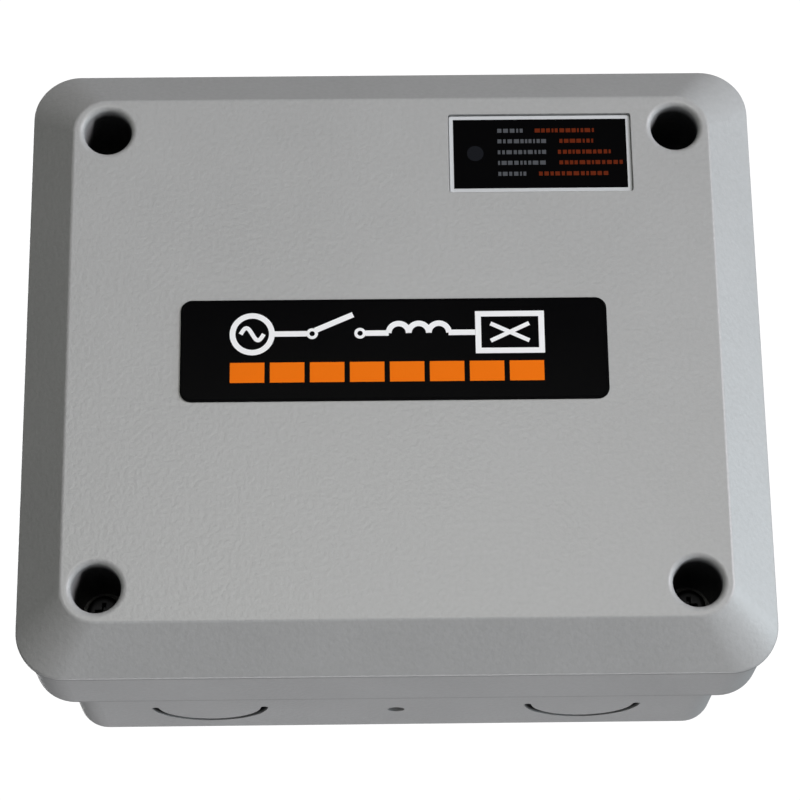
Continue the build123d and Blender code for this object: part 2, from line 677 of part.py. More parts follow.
with BuildPart() as arc_cover:
    with BuildSketch(level(arc_cover_level)):
        with Locations((contactor_column, 0)):
            RectangleRounded(block_width, block_height, block_corner)
            Rectangle(tab_width + 2 * tab_hole_gap, tab_height + 2 * tab_hole_gap, mode=Mode.SUBTRACT)
            with GridLocations(2 * housing_screw_column, 2 * housing_screw_row, 2, 2):
                Circle(housing_bore_radius, mode=Mode.SUBTRACT)
    extrude(amount=arc_cover_thickness)
    chamfer(arc_cover.faces().sort_by(Axis.Y)[0].outer_wire().edges(), arc_cover_chamfer)
    arc_cover_front = arc_cover_level + arc_cover_thickness
    with BuildSketch(level(arc_cover_front)):
        with Locations((contactor_column, 0)):
            with GridLocations(2 * housing_screw_column, 2 * housing_screw_row, 2, 2):
                Circle(housing_head_radius + head_gap)
    extrude(amount=-counterbore_depth, mode=Mode.SUBTRACT)
    # shallow vent slots over each arc chamber
    with BuildSketch(level(arc_cover_front)):
        with Locations((contactor_column, 0)):
            with GridLocations(2 * pole_column, vent_pitch, 2, vent_rows):
                SlotOverall(vent_length, vent_width)
    extrude(amount=-vent_depth, mode=Mode.SUBTRACT)
save(arc_cover.part, "arc_cover")

housing_screw_length = arc_cover_front - counterbore_depth - plate_level - pilot_spare
with BuildPart(level(arc_cover_front - counterbore_depth)) as housing_screws:
    with Locations((contactor_column, 0)):
        with GridLocations(2 * housing_screw_column, 2 * housing_screw_row, 2, 2):
            Cylinder(housing_head_radius, housing_head_height, align=on_top)
            Cylinder(housing_screw_radius, housing_screw_length, align=from_top)
    with Locations((contactor_column, 0, housing_head_height)):
        with GridLocations(2 * housing_screw_column, 2 * housing_screw_row, 2, 2):
            Box(
                2 * housing_head_radius,
                housing_slot_width,
                housing_slot_depth,
                align=from_top,
                mode=Mode.SUBTRACT,
            )
save(housing_screws.part, "housing_screws")

with BuildPart(level(coil_housing_level)) as plate_screws:
    with Locations((contactor_column, 0)):
        with GridLocations(2 * plate_screw_column, 2 * plate_screw_row, 2, 2):
            Cylinder(pan_head_radius, pan_head_height, align=on_top)
            Cylinder(housing_screw_radius - running_gap, plate_screw_length, align=from_top)
    with Locations((contactor_column, 0, pan_head_height)):
        with GridLocations(2 * plate_screw_column, 2 * plate_screw_row, 2, 2):
            Box(pan_cross_length, pan_cross_width, pan_cross_depth, align=from_top, mode=Mode.SUBTRACT)
            Box(pan_cross_width, pan_cross_length, pan_cross_depth, align=from_top, mode=Mode.SUBTRACT)
save(plate_screws.part, "plate_screws")

# ------------------------------------------------------------------ contactor: magnet and coil
with BuildPart() as fixed_core:
    with BuildSketch(level(core_level)):
        with Locations((contactor_column, 0)):
            Rectangle(core_stack, core_span)
    extrude(amount=core_yoke)
    with BuildSketch(level(core_level + core_yoke)):
        with Locations((contactor_column, 0)):
            Rectangle(core_stack, centre_leg)
            with GridLocations(0, 2 * outer_leg_row, 1, 2):
                Rectangle(core_stack, outer_leg)
    extrude(amount=core_top_level - core_level - core_yoke)
save(fixed_core.part, "fixed_core")

with BuildPart() as coil_bobbin:
    bore_width, bore_height = core_stack + 2 * bobbin_bore_gap, centre_leg + 2 * bobbin_bore_gap
    with BuildSketch(level(bobbin_level)):
        with Locations((contactor_column, 0)):
            Rectangle(bore_width + 2 * bobbin_wall, bore_height + 2 * bobbin_wall)
    extrude(amount=bobbin_top_level - bobbin_level)
    for flange_level in (bobbin_level, bobbin_top_level - bobbin_flange):
        with BuildSketch(level(flange_level)):
            with Locations((contactor_column, 0)):
                RectangleRounded(bobbin_width, bobbin_height, bobbin_flange_corner)
        extrude(amount=bobbin_flange)
    with BuildSketch(level(bobbin_level)):
        with Locations((contactor_column, 0)):
            Rectangle(bore_width, bore_height)
    extrude(amount=bobbin_top_level - bobbin_level, mode=Mode.SUBTRACT)
save(coil_bobbin.part, "coil_bobbin")

with BuildPart() as coil_winding:
    with BuildSketch(level(bobbin_level + bobbin_flange)):
        with Locations((contactor_column, 0)):
            RectangleRounded(
                bobbin_width - 2 * winding_inset, bobbin_height - 2 * winding_inset, winding_corner
            )
            Rectangle(bore_width + 2 * bobbin_wall, bore_height + 2 * bobbin_wall, mode=Mode.SUBTRACT)
    extrude(amount=bobbin_top_level - bobbin_level - 2 * bobbin_flange)
save(coil_winding.part, "coil_winding")

with BuildPart() as coil_terminals:
    with BuildSketch(level(bobbin_top_level)):
        with Locations((contactor_column + (coil_tab_start + coil_tab_end) / 2, 0)):
            with GridLocations(0, 2 * coil_tab_row, 1, 2):
                Rectangle(coil_tab_end - coil_tab_start, coil_tab_width)
        with Locations((contactor_column + coil_tab_end - coil_tab_hole_inset, 0)):
            with GridLocations(0, 2 * coil_tab_row, 1, 2):
                Circle(coil_tab_hole_radius, mode=Mode.SUBTRACT)
    extrude(amount=coil_tab_thickness)
save(coil_terminals.part, "coil_terminals")

with BuildPart() as moving_core:
    with BuildSketch(level(carrier_level - core_yoke)):
        with Locations((contactor_column, 0)):
            Rectangle(core_stack, core_span)
    extrude(amount=core_yoke)
    with BuildSketch(level(core_top_level + armature_travel)):
        with Locations((contactor_column, 0)):
            Rectangle(core_stack, centre_leg)
            with GridLocations(0, 2 * outer_leg_row, 1, 2):
                Rectangle(core_stack, outer_leg)
    extrude(amount=armature_leg)
    with BuildSketch(Plane.YZ.offset(contactor_column)):
        with Locations((-pin_level, 0)):
            Circle(pin_radius + running_gap)
    extrude(amount=core_stack, both=True, mode=Mode.SUBTRACT)
save(moving_core.part, "moving_core")

with BuildPart() as armature_pin:
    with BuildSketch(Plane.YZ.offset(contactor_column)):
        with Locations((-pin_level, 0)):
            Circle(pin_radius)
    extrude(amount=cheek_outside, both=True)
save(armature_pin.part, "armature_pin")

# ------------------------------------------------------------------ contactor: carrier and contacts
with BuildPart() as contact_carrier:
    with BuildSketch(level(carrier_level)):
        with Locations((contactor_column, 0)):
            Rectangle(carrier_width, carrier_depth)
    extrude(amount=carrier_top_level - carrier_level)
    chamfer(contact_carrier.faces().sort_by(Axis.Y)[0].edges(), carrier_chamfer)
    # cheeks around the moving core, joined to it by the pin
    with BuildSketch(level(carrier_level)):
        with Locations((contactor_column, 0)):
            with GridLocations(core_stack + 2 * cheek_gap + cheek_wall, 0, 2, 1):
                Rectangle(cheek_wall, carrier_depth)
    extrude(amount=-cheek_drop)
    with BuildSketch(Plane.YZ.offset(contactor_column)):
        with Locations((-pin_level, 0)):
            Circle(pin_radius + running_gap)
    extrude(amount=cheek_outside, both=True, mode=Mode.SUBTRACT)
    # ears that slide in the housing's guides, and the state tab that shows through the arc cover
    with BuildSketch(level(carrier_level)):
        with Locations((contactor_column, 0)):
            with GridLocations(carrier_width + ear_reach, 0, 2, 1):
                Rectangle(ear_reach, ear_width)
    extrude(amount=ear_height)
    with BuildSketch(level(carrier_top_level)):
        with Locations((contactor_column, 0)):
            RectangleRounded(tab_width, tab_height, tab_corner)
    extrude(amount=tab_length)
    # windows that hold the bridges and their springs
    for x in poles:
        with Locations(level(sill_level)):
            with Locations((x, 0)):
                Box(
                    carrier_window_width,
                    carrier_depth,
                    carrier_window_height,
                    align=on_top,
                    mode=Mode.SUBTRACT,
                )
save(contact_carrier.part, "contact_carrier")

with BuildPart(level(sill_level)) as contact_bridges:
    with Locations((contactor_column, 0)):
        with GridLocations(2 * pole_column, 0, 2, 1):
            Box(bridge_width, bridge_length, bridge_thickness, align=on_top)
    fillet(contact_bridges.edges().filter_by(Axis.Y), bridge_corner)
save(contact_bridges.part, "contact_bridges")

with BuildPart(level(sill_level)) as bridge_tips:
    with Locations((contactor_column, 0)):
        with GridLocations(2 * pole_column, 2 * tip_row, 2, 2):
            Box(tip_size, tip_size, tip_thickness, align=from_top)
    chamfer(bridge_tips.faces().filter_by(Axis.Y).group_by(Axis.Y)[-1].edges(), tip_chamfer)
save(bridge_tips.part, "bridge_tips")

with BuildPart(level(strap_front)) as fixed_tips:
    with Locations((contactor_column, 0)):
        with GridLocations(2 * pole_column, 2 * tip_row, 2, 2):
            Box(tip_size, tip_size, tip_thickness, align=on_top)
    chamfer(fixed_tips.faces().filter_by(Axis.Y).group_by(Axis.Y)[0].edges(), tip_chamfer)
save(fixed_tips.part, "fixed_tips")

strap_middle = (strap_inner_end + strap_outer_end) / 2
with BuildPart(level(strap_level)) as terminal_straps:
    with Locations((contactor_column, 0)):
        with GridLocations(2 * pole_column, 2 * strap_middle, 2, 2):
            Box(strap_width, strap_outer_end - strap_inner_end, strap_thickness, align=on_top)
save(terminal_straps.part, "terminal_straps")

with BuildPart() as return_springs:
    spring_foot = pole_housing_level + pole_floor + return_spring_wire
    spring_length = carrier_level - return_spring_wire - spring_foot
    for side in (-1, 1):
        place = (contactor_column + side * return_spring_column, -spring_foot, 0)
        spring_turns = Helix(
            spring_length / return_spring_turns,
            spring_length,
            return_spring_radius,
            center=place,
            direction=(0, -1, 0),
            mode=Mode.PRIVATE,
        )
        with BuildSketch(Plane(origin=spring_turns @ 0, z_dir=spring_turns % 0)):
            Circle(return_spring_wire)
        sweep(path=spring_turns, is_frenet=True)
save(return_springs.part, "return_springs")

with BuildPart() as contact_springs:
    spring_foot = bridge_front + contact_spring_wire
    spring_length = sill_level + carrier_window_height - contact_spring_wire - spring_foot
    for x in poles:
        spring_turns = Helix(
            spring_length / contact_spring_turns,
            spring_length,
            contact_spring_radius,
            center=(x, -spring_foot, 0),
            direction=(0, -1, 0),
            mode=Mode.PRIVATE,
        )
        with BuildSketch(Plane(origin=spring_turns @ 0, z_dir=spring_turns % 0)):
            Circle(contact_spring_wire)
        sweep(path=spring_turns, is_frenet=True)
save(contact_springs.part, "contact_springs")

# ------------------------------------------------------------------ contactor: wire lugs
with BuildPart(level(shelf_level)) as wire_lugs:
    with Locations((contactor_column, 0)):
        with GridLocations(2 * pole_column, 2 * lug_row, 2, 2):
            Box(lug_width, lug_depth, lug_height, align=on_top)
    chamfer(wire_lugs.edges().filter_by(Axis.Y), lug_edge)
    with Locations((contactor_column, 0, strap_level - shelf_level)):
        with GridLocations(2 * pole_column, 2 * lug_row, 2, 2):
            Box(lug_window_width, lug_depth, lug_window_height, align=on_top, mode=Mode.SUBTRACT)
            Cylinder(lug_screw_radius + running_gap, lug_height, align=on_top, mode=Mode.SUBTRACT)
save(wire_lugs.part, "wire_lugs")

with BuildPart(level(lug_screw_level)) as lug_screws:
    with Locations((contactor_column, 0)):
        with GridLocations(2 * pole_column, 2 * lug_row, 2, 2):
            Cylinder(lug_screw_radius, lug_screw_length, align=on_top)
    chamfer(lug_screws.faces().filter_by(Axis.Y).edges(), lug_screw_edge)
    with Locations((contactor_column, 0, lug_screw_length)):
        with GridLocations(2 * pole_column, 2 * lug_row, 2, 2):
            Box(2 * lug_screw_radius, lug_slot_width, lug_slot_depth, align=from_top, mode=Mode.SUBTRACT)
save(lug_screws.part, "lug_screws")

# ------------------------------------------------------------------ control board
board_width, board_height = board_right - board_left, board_top - board_bottom
with BuildPart() as circuit_board:
    with BuildSketch(level(board_level)):
        with Locations(((board_left + board_right) / 2, (board_bottom + board_top) / 2)):
            RectangleRounded(board_width, board_height, board_corner)
        with Locations((board_right, board_top)):
            Rectangle(
                board_notch_width, board_notch_height, align=(Align.MAX, Align.MAX), mode=Mode.SUBTRACT
            )
        with Locations(*board_posts):
            Circle(board_screw_radius + board_hole_gap, mode=Mode.SUBTRACT)
    extrude(amount=board_thickness)
save(circuit_board.part, "circuit_board")

with BuildPart(level(board_front)) as board_screws:
    with Locations(*board_posts):
        Cylinder(board_head_radius, board_head_height, align=on_top)
        Cylinder(board_screw_radius, board_screw_length, align=from_top)
    with Locations(*[(x, z, board_head_height) for x, z in board_posts]):
        Box(board_cross_length, board_cross_width, board_cross_depth, align=from_top, mode=Mode.SUBTRACT)
        Box(board_cross_width, board_cross_length, board_cross_depth, align=from_top, mode=Mode.SUBTRACT)
save(board_screws.part, "board_screws")

core_foot = board_front + transformer_lift
window_offset = transformer_leg / 2 + transformer_window_width / 2
window_foot = (transformer_tall - transformer_window_height) / 2
with BuildPart(level(core_foot)) as transformer_core:
    with Locations(transformer_place):
        Box(transformer_width, transformer_stack, transformer_tall, align=on_top)
    x, z = transformer_place
    with Locations((x - window_offset, z, window_foot), (x + window_offset, z, window_foot)):
        Box(
            transformer_window_width,
            transformer_stack,
            transformer_window_height,
            align=on_top,
            mode=Mode.SUBTRACT,
        )
save(transformer_core.part, "transformer_core")

with BuildPart(level(core_foot + window_foot)) as transformer_bobbin:
    former_width = transformer_leg + 2 * transformer_former_wall
    former_stack = transformer_stack + 2 * transformer_former_wall
    with Locations(transformer_place):
        Box(former_width, former_stack, transformer_window_height, align=on_top)
        Box(transformer_coil_width, transformer_coil_stack, transformer_flange, align=on_top)
    with Locations((*transformer_place, transformer_window_height)):
        Box(transformer_coil_width, transformer_coil_stack, transformer_flange, align=from_top)
    with Locations(transformer_place):
        Box(transformer_leg, transformer_stack, transformer_window_height, align=on_top, mode=Mode.SUBTRACT)
    # feet that carry the transformer on the board, beside its core
    for side in (-1, 1):
        with Locations((x, z + side * transformer_foot_row, -window_foot - transformer_lift)):
            Box(
                transformer_foot_width,
                transformer_foot_depth,
                window_foot + transformer_lift,
                align=on_top,
            )
save(transformer_bobbin.part, "transformer_bobbin")

with BuildPart(level(core_foot + window_foot + transformer_flange)) as transformer_winding:
    with Locations(transformer_place):
        Box(
            transformer_coil_width - winding_inset,
            transformer_coil_stack - 2 * transformer_former_wall,
            transformer_window_height - 2 * transformer_flange,
            align=on_top,
        )
        fillet(transformer_winding.edges().filter_by(Axis.Y), transformer_winding_corner)
        Box(former_width, former_stack, transformer_window_height, align=on_top, mode=Mode.SUBTRACT)
save(transformer_winding.part, "transformer_winding")

with BuildPart(level(board_front)) as board_relay:
    with Locations(relay_place):
        Box(*relay_size, align=on_top)
    fillet(board_relay.faces().sort_by(Axis.Y)[0].edges(), relay_rounding)
save(board_relay.part, "board_relay")

with BuildPart(level(board_front)) as capacitors:
    for x, z, radius, height in capacitors_at:
        with Locations((x, z)):
            Cylinder(radius, height, align=on_top)
    fillet(capacitors.edges().filter_by(GeomType.CIRCLE), capacitor_rounding)
    for x, z, radius, height in capacitors_at:
        with Locations((x, z, height)):
            Box(radius * score_share, score_width, score_depth, align=from_top, mode=Mode.SUBTRACT)
            Box(score_width, radius * score_share, score_depth, align=from_top, mode=Mode.SUBTRACT)
save(capacitors.part, "capacitors")

with BuildPart(level(board_front + chip_lift)) as controller_chip:
    with Locations(chip_place):
        Box(chip_side, chip_side, chip_height, align=on_top)
    chamfer(controller_chip.faces().sort_by(Axis.Y)[0].edges(), chip_chamfer)
save(controller_chip.part, "controller_chip")

with BuildPart(level(board_front)) as chip_leads:
    with Locations(chip_place):
        with GridLocations(chip_side + lead_reach, chip_lead_pitch, 2, chip_leads_per_side):
            Box(lead_reach, lead_width, lead_thickness, align=on_top)
        with GridLocations(chip_lead_pitch, chip_side + lead_reach, chip_leads_per_side, 2):
            Box(lead_width, lead_reach, lead_thickness, align=on_top)
save(chip_leads.part, "chip_leads")

with BuildPart() as resistors:
    for x, z in [(x, z) for x in resistor_columns for z in resistor_rows]:
        with BuildSketch(Plane.YZ.offset(x)):
            with Locations((-board_front - resistor_lift, z)):
                Circle(resistor_radius)
        extrude(amount=resistor_length / 2, both=True)
        with BuildSketch(Plane.YZ.offset(x)):
            with Locations((-board_front - resistor_lift, z)):
                Circle(resistor_wire)
        extrude(amount=resistor_length / 2 + resistor_tail_end, both=True)
        for side in (-1, 1):
            with Locations(level(board_front)):
                with Locations((x + side * (resistor_length / 2 + resistor_tail), z)):
                    Cylinder(resistor_wire, resistor_lift, align=on_top)
save(resistors.part, "resistors")

fuse_column, fuse_row = fuse_place
fuse_axis_level = board_front + fuse_lift
with BuildPart() as fuse_glass:
    with BuildSketch(Plane.YZ.offset(fuse_column)):
        with Locations((-fuse_axis_level, fuse_row)):
            Circle(fuse_radius)
            Circle(fuse_radius - fuse_glass_wall, mode=Mode.SUBTRACT)
    extrude(amount=fuse_length / 2 - fuse_cap_wall, both=True)
save(fuse_glass.part, "fuse_glass")

with BuildPart() as fuse_caps:
    for side in (-1, 1):
        with BuildSketch(Plane.YZ.offset(fuse_column + side * fuse_length / 2)):
            with Locations((-fuse_axis_level, fuse_row)):
                Circle(fuse_cap_radius)
        extrude(amount=-side * fuse_cap_length)
        with BuildSketch(Plane.YZ.offset(fuse_column + side * (fuse_length / 2 - fuse_cap_wall))):
            with Locations((-fuse_axis_level, fuse_row)):
                Circle(fuse_radius)
        extrude(amount=-side * fuse_cap_length, mode=Mode.SUBTRACT)
save(fuse_caps.part, "fuse_caps")

with BuildPart() as fuse_clips:
    clip_offset = fuse_length / 2 - fuse_cap_length / 2
    for side in (-1, 1):
        with BuildSketch(Plane.YZ.offset(fuse_column + side * clip_offset)):
            with Locations((-fuse_axis_level, fuse_row)):
                Circle(fuse_cap_radius + clip_wall)
                Circle(fuse_cap_radius, mode=Mode.SUBTRACT)
            with Locations((-fuse_axis_level - clip_mouth_rise, fuse_row)):
                Rectangle(clip_mouth, clip_mouth, align=(Align.MAX, Align.CENTER), mode=Mode.SUBTRACT)
            with Locations((-board_front, fuse_row)):
                Rectangle(fuse_lift - fuse_cap_radius, clip_leg, align=(Align.MAX, Align.CENTER))
        extrude(amount=clip_width / 2, both=True)
save(fuse_clips.part, "fuse_clips")

main_length = main_block_poles * block_pitch
side_length = side_block_poles * block_pitch
with BuildPart(level(board_front)) as terminal_blocks:
    with Locations(main_block_place):
        Box(main_length, block_depth, block_rise, align=on_top)
    with Locations(side_block_place):
        Box(block_depth, side_length, block_rise, align=on_top)
    chamfer(terminal_blocks.faces().filter_by(Axis.Y).group_by(Axis.Y)[0].edges(), block_chamfer)
    screw_hole_radius = block_screw_radius + block_screw_gap
    screw_hole_depth = block_screw_depth + block_screw_sink
    main_x, main_z = main_block_place
    side_x, side_z = side_block_place
    with Locations((main_x, main_z - block_depth / 2 + entry_depth / 2, entry_level)):
        with GridLocations(block_pitch, 0, main_block_poles, 1):
            Box(entry_width, entry_depth, entry_height, align=on_top, mode=Mode.SUBTRACT)
    with Locations((side_x - block_depth / 2 + entry_depth / 2, side_z, entry_level)):
        with GridLocations(0, block_pitch, 1, side_block_poles):
            Box(entry_depth, entry_width, entry_height, align=on_top, mode=Mode.SUBTRACT)
    with Locations((main_x, main_z, block_rise)):
        with GridLocations(block_pitch, 0, main_block_poles, 1):
            Cylinder(screw_hole_radius, screw_hole_depth, align=from_top, mode=Mode.SUBTRACT)
    with Locations((side_x, side_z, block_rise)):
        with GridLocations(0, block_pitch, 1, side_block_poles):
            Cylinder(screw_hole_radius, screw_hole_depth, align=from_top, mode=Mode.SUBTRACT)
save(terminal_blocks.part, "terminal_blocks")

with BuildPart(level(board_front + block_screw_level)) as terminal_block_screws:
    with Locations(main_block_place):
        with GridLocations(block_pitch, 0, main_block_poles, 1):
            Cylinder(block_screw_radius, block_screw_depth, align=on_top)
    with Locations(side_block_place):
        with GridLocations(0, block_pitch, 1, side_block_poles):
            Cylinder(block_screw_radius, block_screw_depth, align=on_top)
    with Locations((*main_block_place, block_screw_depth)):
        with GridLocations(block_pitch, 0, main_block_poles, 1):
            Box(
                2 * block_screw_radius, block_slot_width, block_slot_depth, align=from_top, mode=Mode.SUBTRACT
            )
    with Locations((*side_block_place, block_screw_depth)):
        with GridLocations(0, block_pitch, 1, side_block_poles):
            Box(
                block_slot_width, 2 * block_screw_radius, block_slot_depth, align=from_top, mode=Mode.SUBTRACT
            )
save(terminal_block_screws.part, "terminal_block_screws")

with BuildPart(level(board_front)) as status_led:
    with Locations((lamp_column, lamp_row)):
        Cylinder(led_radius, led_height, align=on_top)
        fillet(status_led.faces().sort_by(Axis.Y)[0].edges(), led_dome)
        Cylinder(led_base_radius, led_base, align=on_top)
save(status_led.part, "status_led")

# ------------------------------------------------------------------ test button and priority dial
with BuildPart(level(board_front)) as test_button_body:
    with Locations(button_place):
        Box(button_side, button_side, button_rise, align=on_top)
    chamfer(test_button_body.faces().sort_by(Axis.Y)[0].edges(), button_chamfer)
    with Locations((*button_place, button_rise)):
        Cylinder(
            button_cap_radius + running_gap, button_rise - button_floor, align=from_top, mode=Mode.SUBTRACT
        )
save(test_button_body.part, "test_button_body")

button_cap_level = board_front + button_floor + button_travel + button_spare
with BuildPart(level(button_cap_level)) as test_button_cap:
    with Locations(button_place):
        Cylinder(button_cap_radius, button_cap_height, align=on_top)
    fillet(test_button_cap.faces().sort_by(Axis.Y)[0].edges(), button_cap_rounding)
save(test_button_cap.part, "test_button_cap")

dial_foot = dial_body_rise + dial_proud - dial_height
with BuildPart(level(board_front)) as priority_switch_body:
    with Locations(dial_place):
        Box(dial_body_side, dial_body_side, dial_body_rise, align=on_top)
    chamfer(priority_switch_body.faces().sort_by(Axis.Y)[0].edges(), dial_chamfer)
    with Locations((*dial_place, dial_foot - dial_floor_gap)):
        Cylinder(dial_radius + running_gap, dial_height, align=on_top, mode=Mode.SUBTRACT)
save(priority_switch_body.part, "priority_switch_body")

with BuildPart(level(board_front + dial_foot)) as priority_dial:
    with Locations(dial_place):
        Cylinder(dial_radius, dial_height, align=on_top)
    with Locations((*dial_place, dial_height)):
        Box(dial_slot_width, dial_slot_length, dial_slot_depth, align=from_top, mode=Mode.SUBTRACT)
    # the notch at one end of the slot points at the chosen position
    dial_x, dial_z = dial_place
    with Locations((dial_x, dial_z + dial_notch_offset, dial_height)):
        Cylinder(dial_notch_radius, dial_slot_depth, align=from_top, mode=Mode.SUBTRACT)
save(priority_dial.part, "priority_dial")

# ------------------------------------------------------------------ ground bar
bar_x, bar_z = bar_place
with BuildPart(level(bar_level)) as ground_bar:
    with Locations(bar_place):
        Box(bar_length, bar_width, bar_height, align=on_top)
    chamfer(ground_bar.edges().filter_by(Axis.X), bar_chamfer)
    with Locations(bar_place):
        with GridLocations(bar_hole_pitch, 0, bar_holes, 1):
            Cylinder(bar_screw_radius + running_gap, 2 * bar_height, mode=Mode.SUBTRACT)
        with GridLocations(2 * bar_mount_offset, 0, 2, 1):
            Cylinder(housing_bore_radius, 2 * bar_height, mode=Mode.SUBTRACT)
    with BuildSketch(Plane.XY.offset(bar_z - bar_width / 2)):
        with Locations((bar_x, bar_wire_drop - bar_level - bar_height / 2)):
            with GridLocations(bar_hole_pitch, 0, bar_holes, 1):
                Circle(bar_wire_radius)
    extrude(amount=bar_width, mode=Mode.SUBTRACT)
save(ground_bar.part, "ground_bar")

with BuildPart(level(bar_level + bar_height)) as ground_clamp_screws:
    with Locations((bar_x, bar_z, bar_head_rise)):
        with GridLocations(bar_hole_pitch, 0, bar_holes, 1):
            Cylinder(bar_screw_radius, bar_screw_length, align=from_top)
            Cylinder(bar_head_radius, bar_head_height, align=from_top)
            Box(2 * bar_head_radius, bar_slot_width, bar_slot_depth, align=from_top, mode=Mode.SUBTRACT)
save(ground_clamp_screws.part, "ground_clamp_screws")

with BuildPart(level(bar_level + bar_height)) as ground_bar_screws:
    with Locations(bar_place):
        with GridLocations(2 * bar_mount_offset, 0, 2, 1):
            Cylinder(pan_head_radius, pan_head_height, align=on_top)
            Cylinder(housing_screw_radius - running_gap, bar_mount_screw_length, align=from_top)
    with Locations((bar_x, bar_z, pan_head_height)):
        with GridLocations(2 * bar_mount_offset, 0, 2, 1):
            Box(pan_cross_length, pan_cross_width, pan_cross_depth, align=from_top, mode=Mode.SUBTRACT)
            Box(pan_cross_width, pan_cross_length, pan_cross_depth, align=from_top, mode=Mode.SUBTRACT)
save(ground_bar_screws.part, "ground_bar_screws")

# ------------------------------------------------------------------ wiring
boot_level = bobbin_top_level + coil_tab_thickness / 2
with BuildPart(level(boot_level)) as wire_boots:
    for z in (-coil_tab_row, coil_tab_row):
        with Locations((boot_start + boot_length / 2, z)):
            Box(boot_length, boot_width, boot_thickness)
    fillet(wire_boots.edges().filter_by(Axis.X), boot_corner)
    slot_length = contactor_column + coil_tab_end - boot_start + boot_end_gap
    for z in (-coil_tab_row, coil_tab_row):
        with Locations((boot_start + slot_length / 2, z)):
            Box(
                slot_length,
                coil_tab_width + boot_slot,
                coil_tab_thickness + boot_slot,
                mode=Mode.SUBTRACT,
            )
save(wire_boots.part, "wire_boots")

entry_axis = board_front + entry_level + entry_height / 2
entry_end = entry_depth - block_depth / 2 - wire_end_gap
with BuildPart() as coil_wires:
    for row, pole in ((coil_tab_row, 1), (-coil_tab_row, 0)):
        entry_x = main_x + (pole - (main_block_poles - 1) / 2) * block_pitch
        with BuildLine() as coil_path:
            FilletPolyline(
                (boot_start + boot_length, -boot_level, row),
                (entry_x, -boot_level, row),
                (entry_x, -boot_level, coil_wire_turn_row),
                (entry_x, -entry_axis, coil_wire_turn_row),
                (entry_x, -entry_axis, main_z + entry_end),
                radius=coil_wire_bend,
            )
        with BuildSketch(Plane(origin=coil_path.line @ 0, z_dir=coil_path.line % 0)):
            Circle(coil_wire_radius)
        sweep(path=coil_path.line)
save(coil_wires.part, "coil_wires")

sense_level = strap_front + sense_wire_radius + strap_wire_gap
with BuildPart() as sense_wires:
    for pole_x, wire_row, wire_column, entry_side in (
        (poles[1], sense_wire_row, sense_wire_column, -1),
        (poles[0], sense_wire_row + sense_row_step, sense_wire_column + sense_column_step, 1),
    ):
        entry_z = side_z + entry_side * block_pitch / 2
        with BuildLine() as sense_path:
            FilletPolyline(
                (pole_x, -sense_level, lug_row),
                (pole_x, -sense_level, wire_row),
                (wire_column, -sense_level, wire_row),
                (wire_column, -entry_axis, entry_z),
                (side_x + entry_end, -entry_axis, entry_z),
                radius=sense_wire_bend,
            )
        with BuildSketch(Plane(origin=sense_path.line @ 0, z_dir=sense_path.line % 0)):
            Circle(sense_wire_radius)
        sweep(path=sense_path.line)
save(sense_wires.part, "sense_wires")
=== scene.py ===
"""Looks of the wall-mounted load-management transfer switch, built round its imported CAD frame.

Everything is in metres in the frame's own axes: X right, Z up, and the cover faces -Y.
"""

import collections
import itertools
import math
import random

import bmesh
import bpy
from mathutils import Matrix, Vector


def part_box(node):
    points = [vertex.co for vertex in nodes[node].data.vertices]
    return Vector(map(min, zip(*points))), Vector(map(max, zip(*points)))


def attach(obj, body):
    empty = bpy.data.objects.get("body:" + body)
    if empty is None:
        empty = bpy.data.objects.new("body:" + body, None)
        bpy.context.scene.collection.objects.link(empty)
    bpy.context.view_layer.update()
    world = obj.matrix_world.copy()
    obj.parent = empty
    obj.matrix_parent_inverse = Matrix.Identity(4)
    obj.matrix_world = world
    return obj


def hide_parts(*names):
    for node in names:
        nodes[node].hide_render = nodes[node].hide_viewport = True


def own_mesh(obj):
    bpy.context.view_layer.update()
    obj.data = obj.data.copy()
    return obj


# a millimetre, in metres
MM = 0.001

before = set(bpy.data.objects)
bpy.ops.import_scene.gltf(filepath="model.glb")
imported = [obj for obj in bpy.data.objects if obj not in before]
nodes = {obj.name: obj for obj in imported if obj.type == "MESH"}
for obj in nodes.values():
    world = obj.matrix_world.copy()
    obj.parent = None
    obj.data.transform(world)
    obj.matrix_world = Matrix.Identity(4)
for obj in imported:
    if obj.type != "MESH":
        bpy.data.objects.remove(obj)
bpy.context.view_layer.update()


# ------------------------------------------------------------------ places taken from the frame
def centre(node):
    """The middle of a CAD node's box."""
    low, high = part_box(node)
    return (low + high) / 2


SCREW_NODES = (
    "cover_screw_upper_left",
    "cover_screw_upper_right",
    "cover_screw_lower_left",
    "cover_screw_lower_right",
)
face_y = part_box("front_cover")[0].y
well = centre("cover_screw_upper_right")


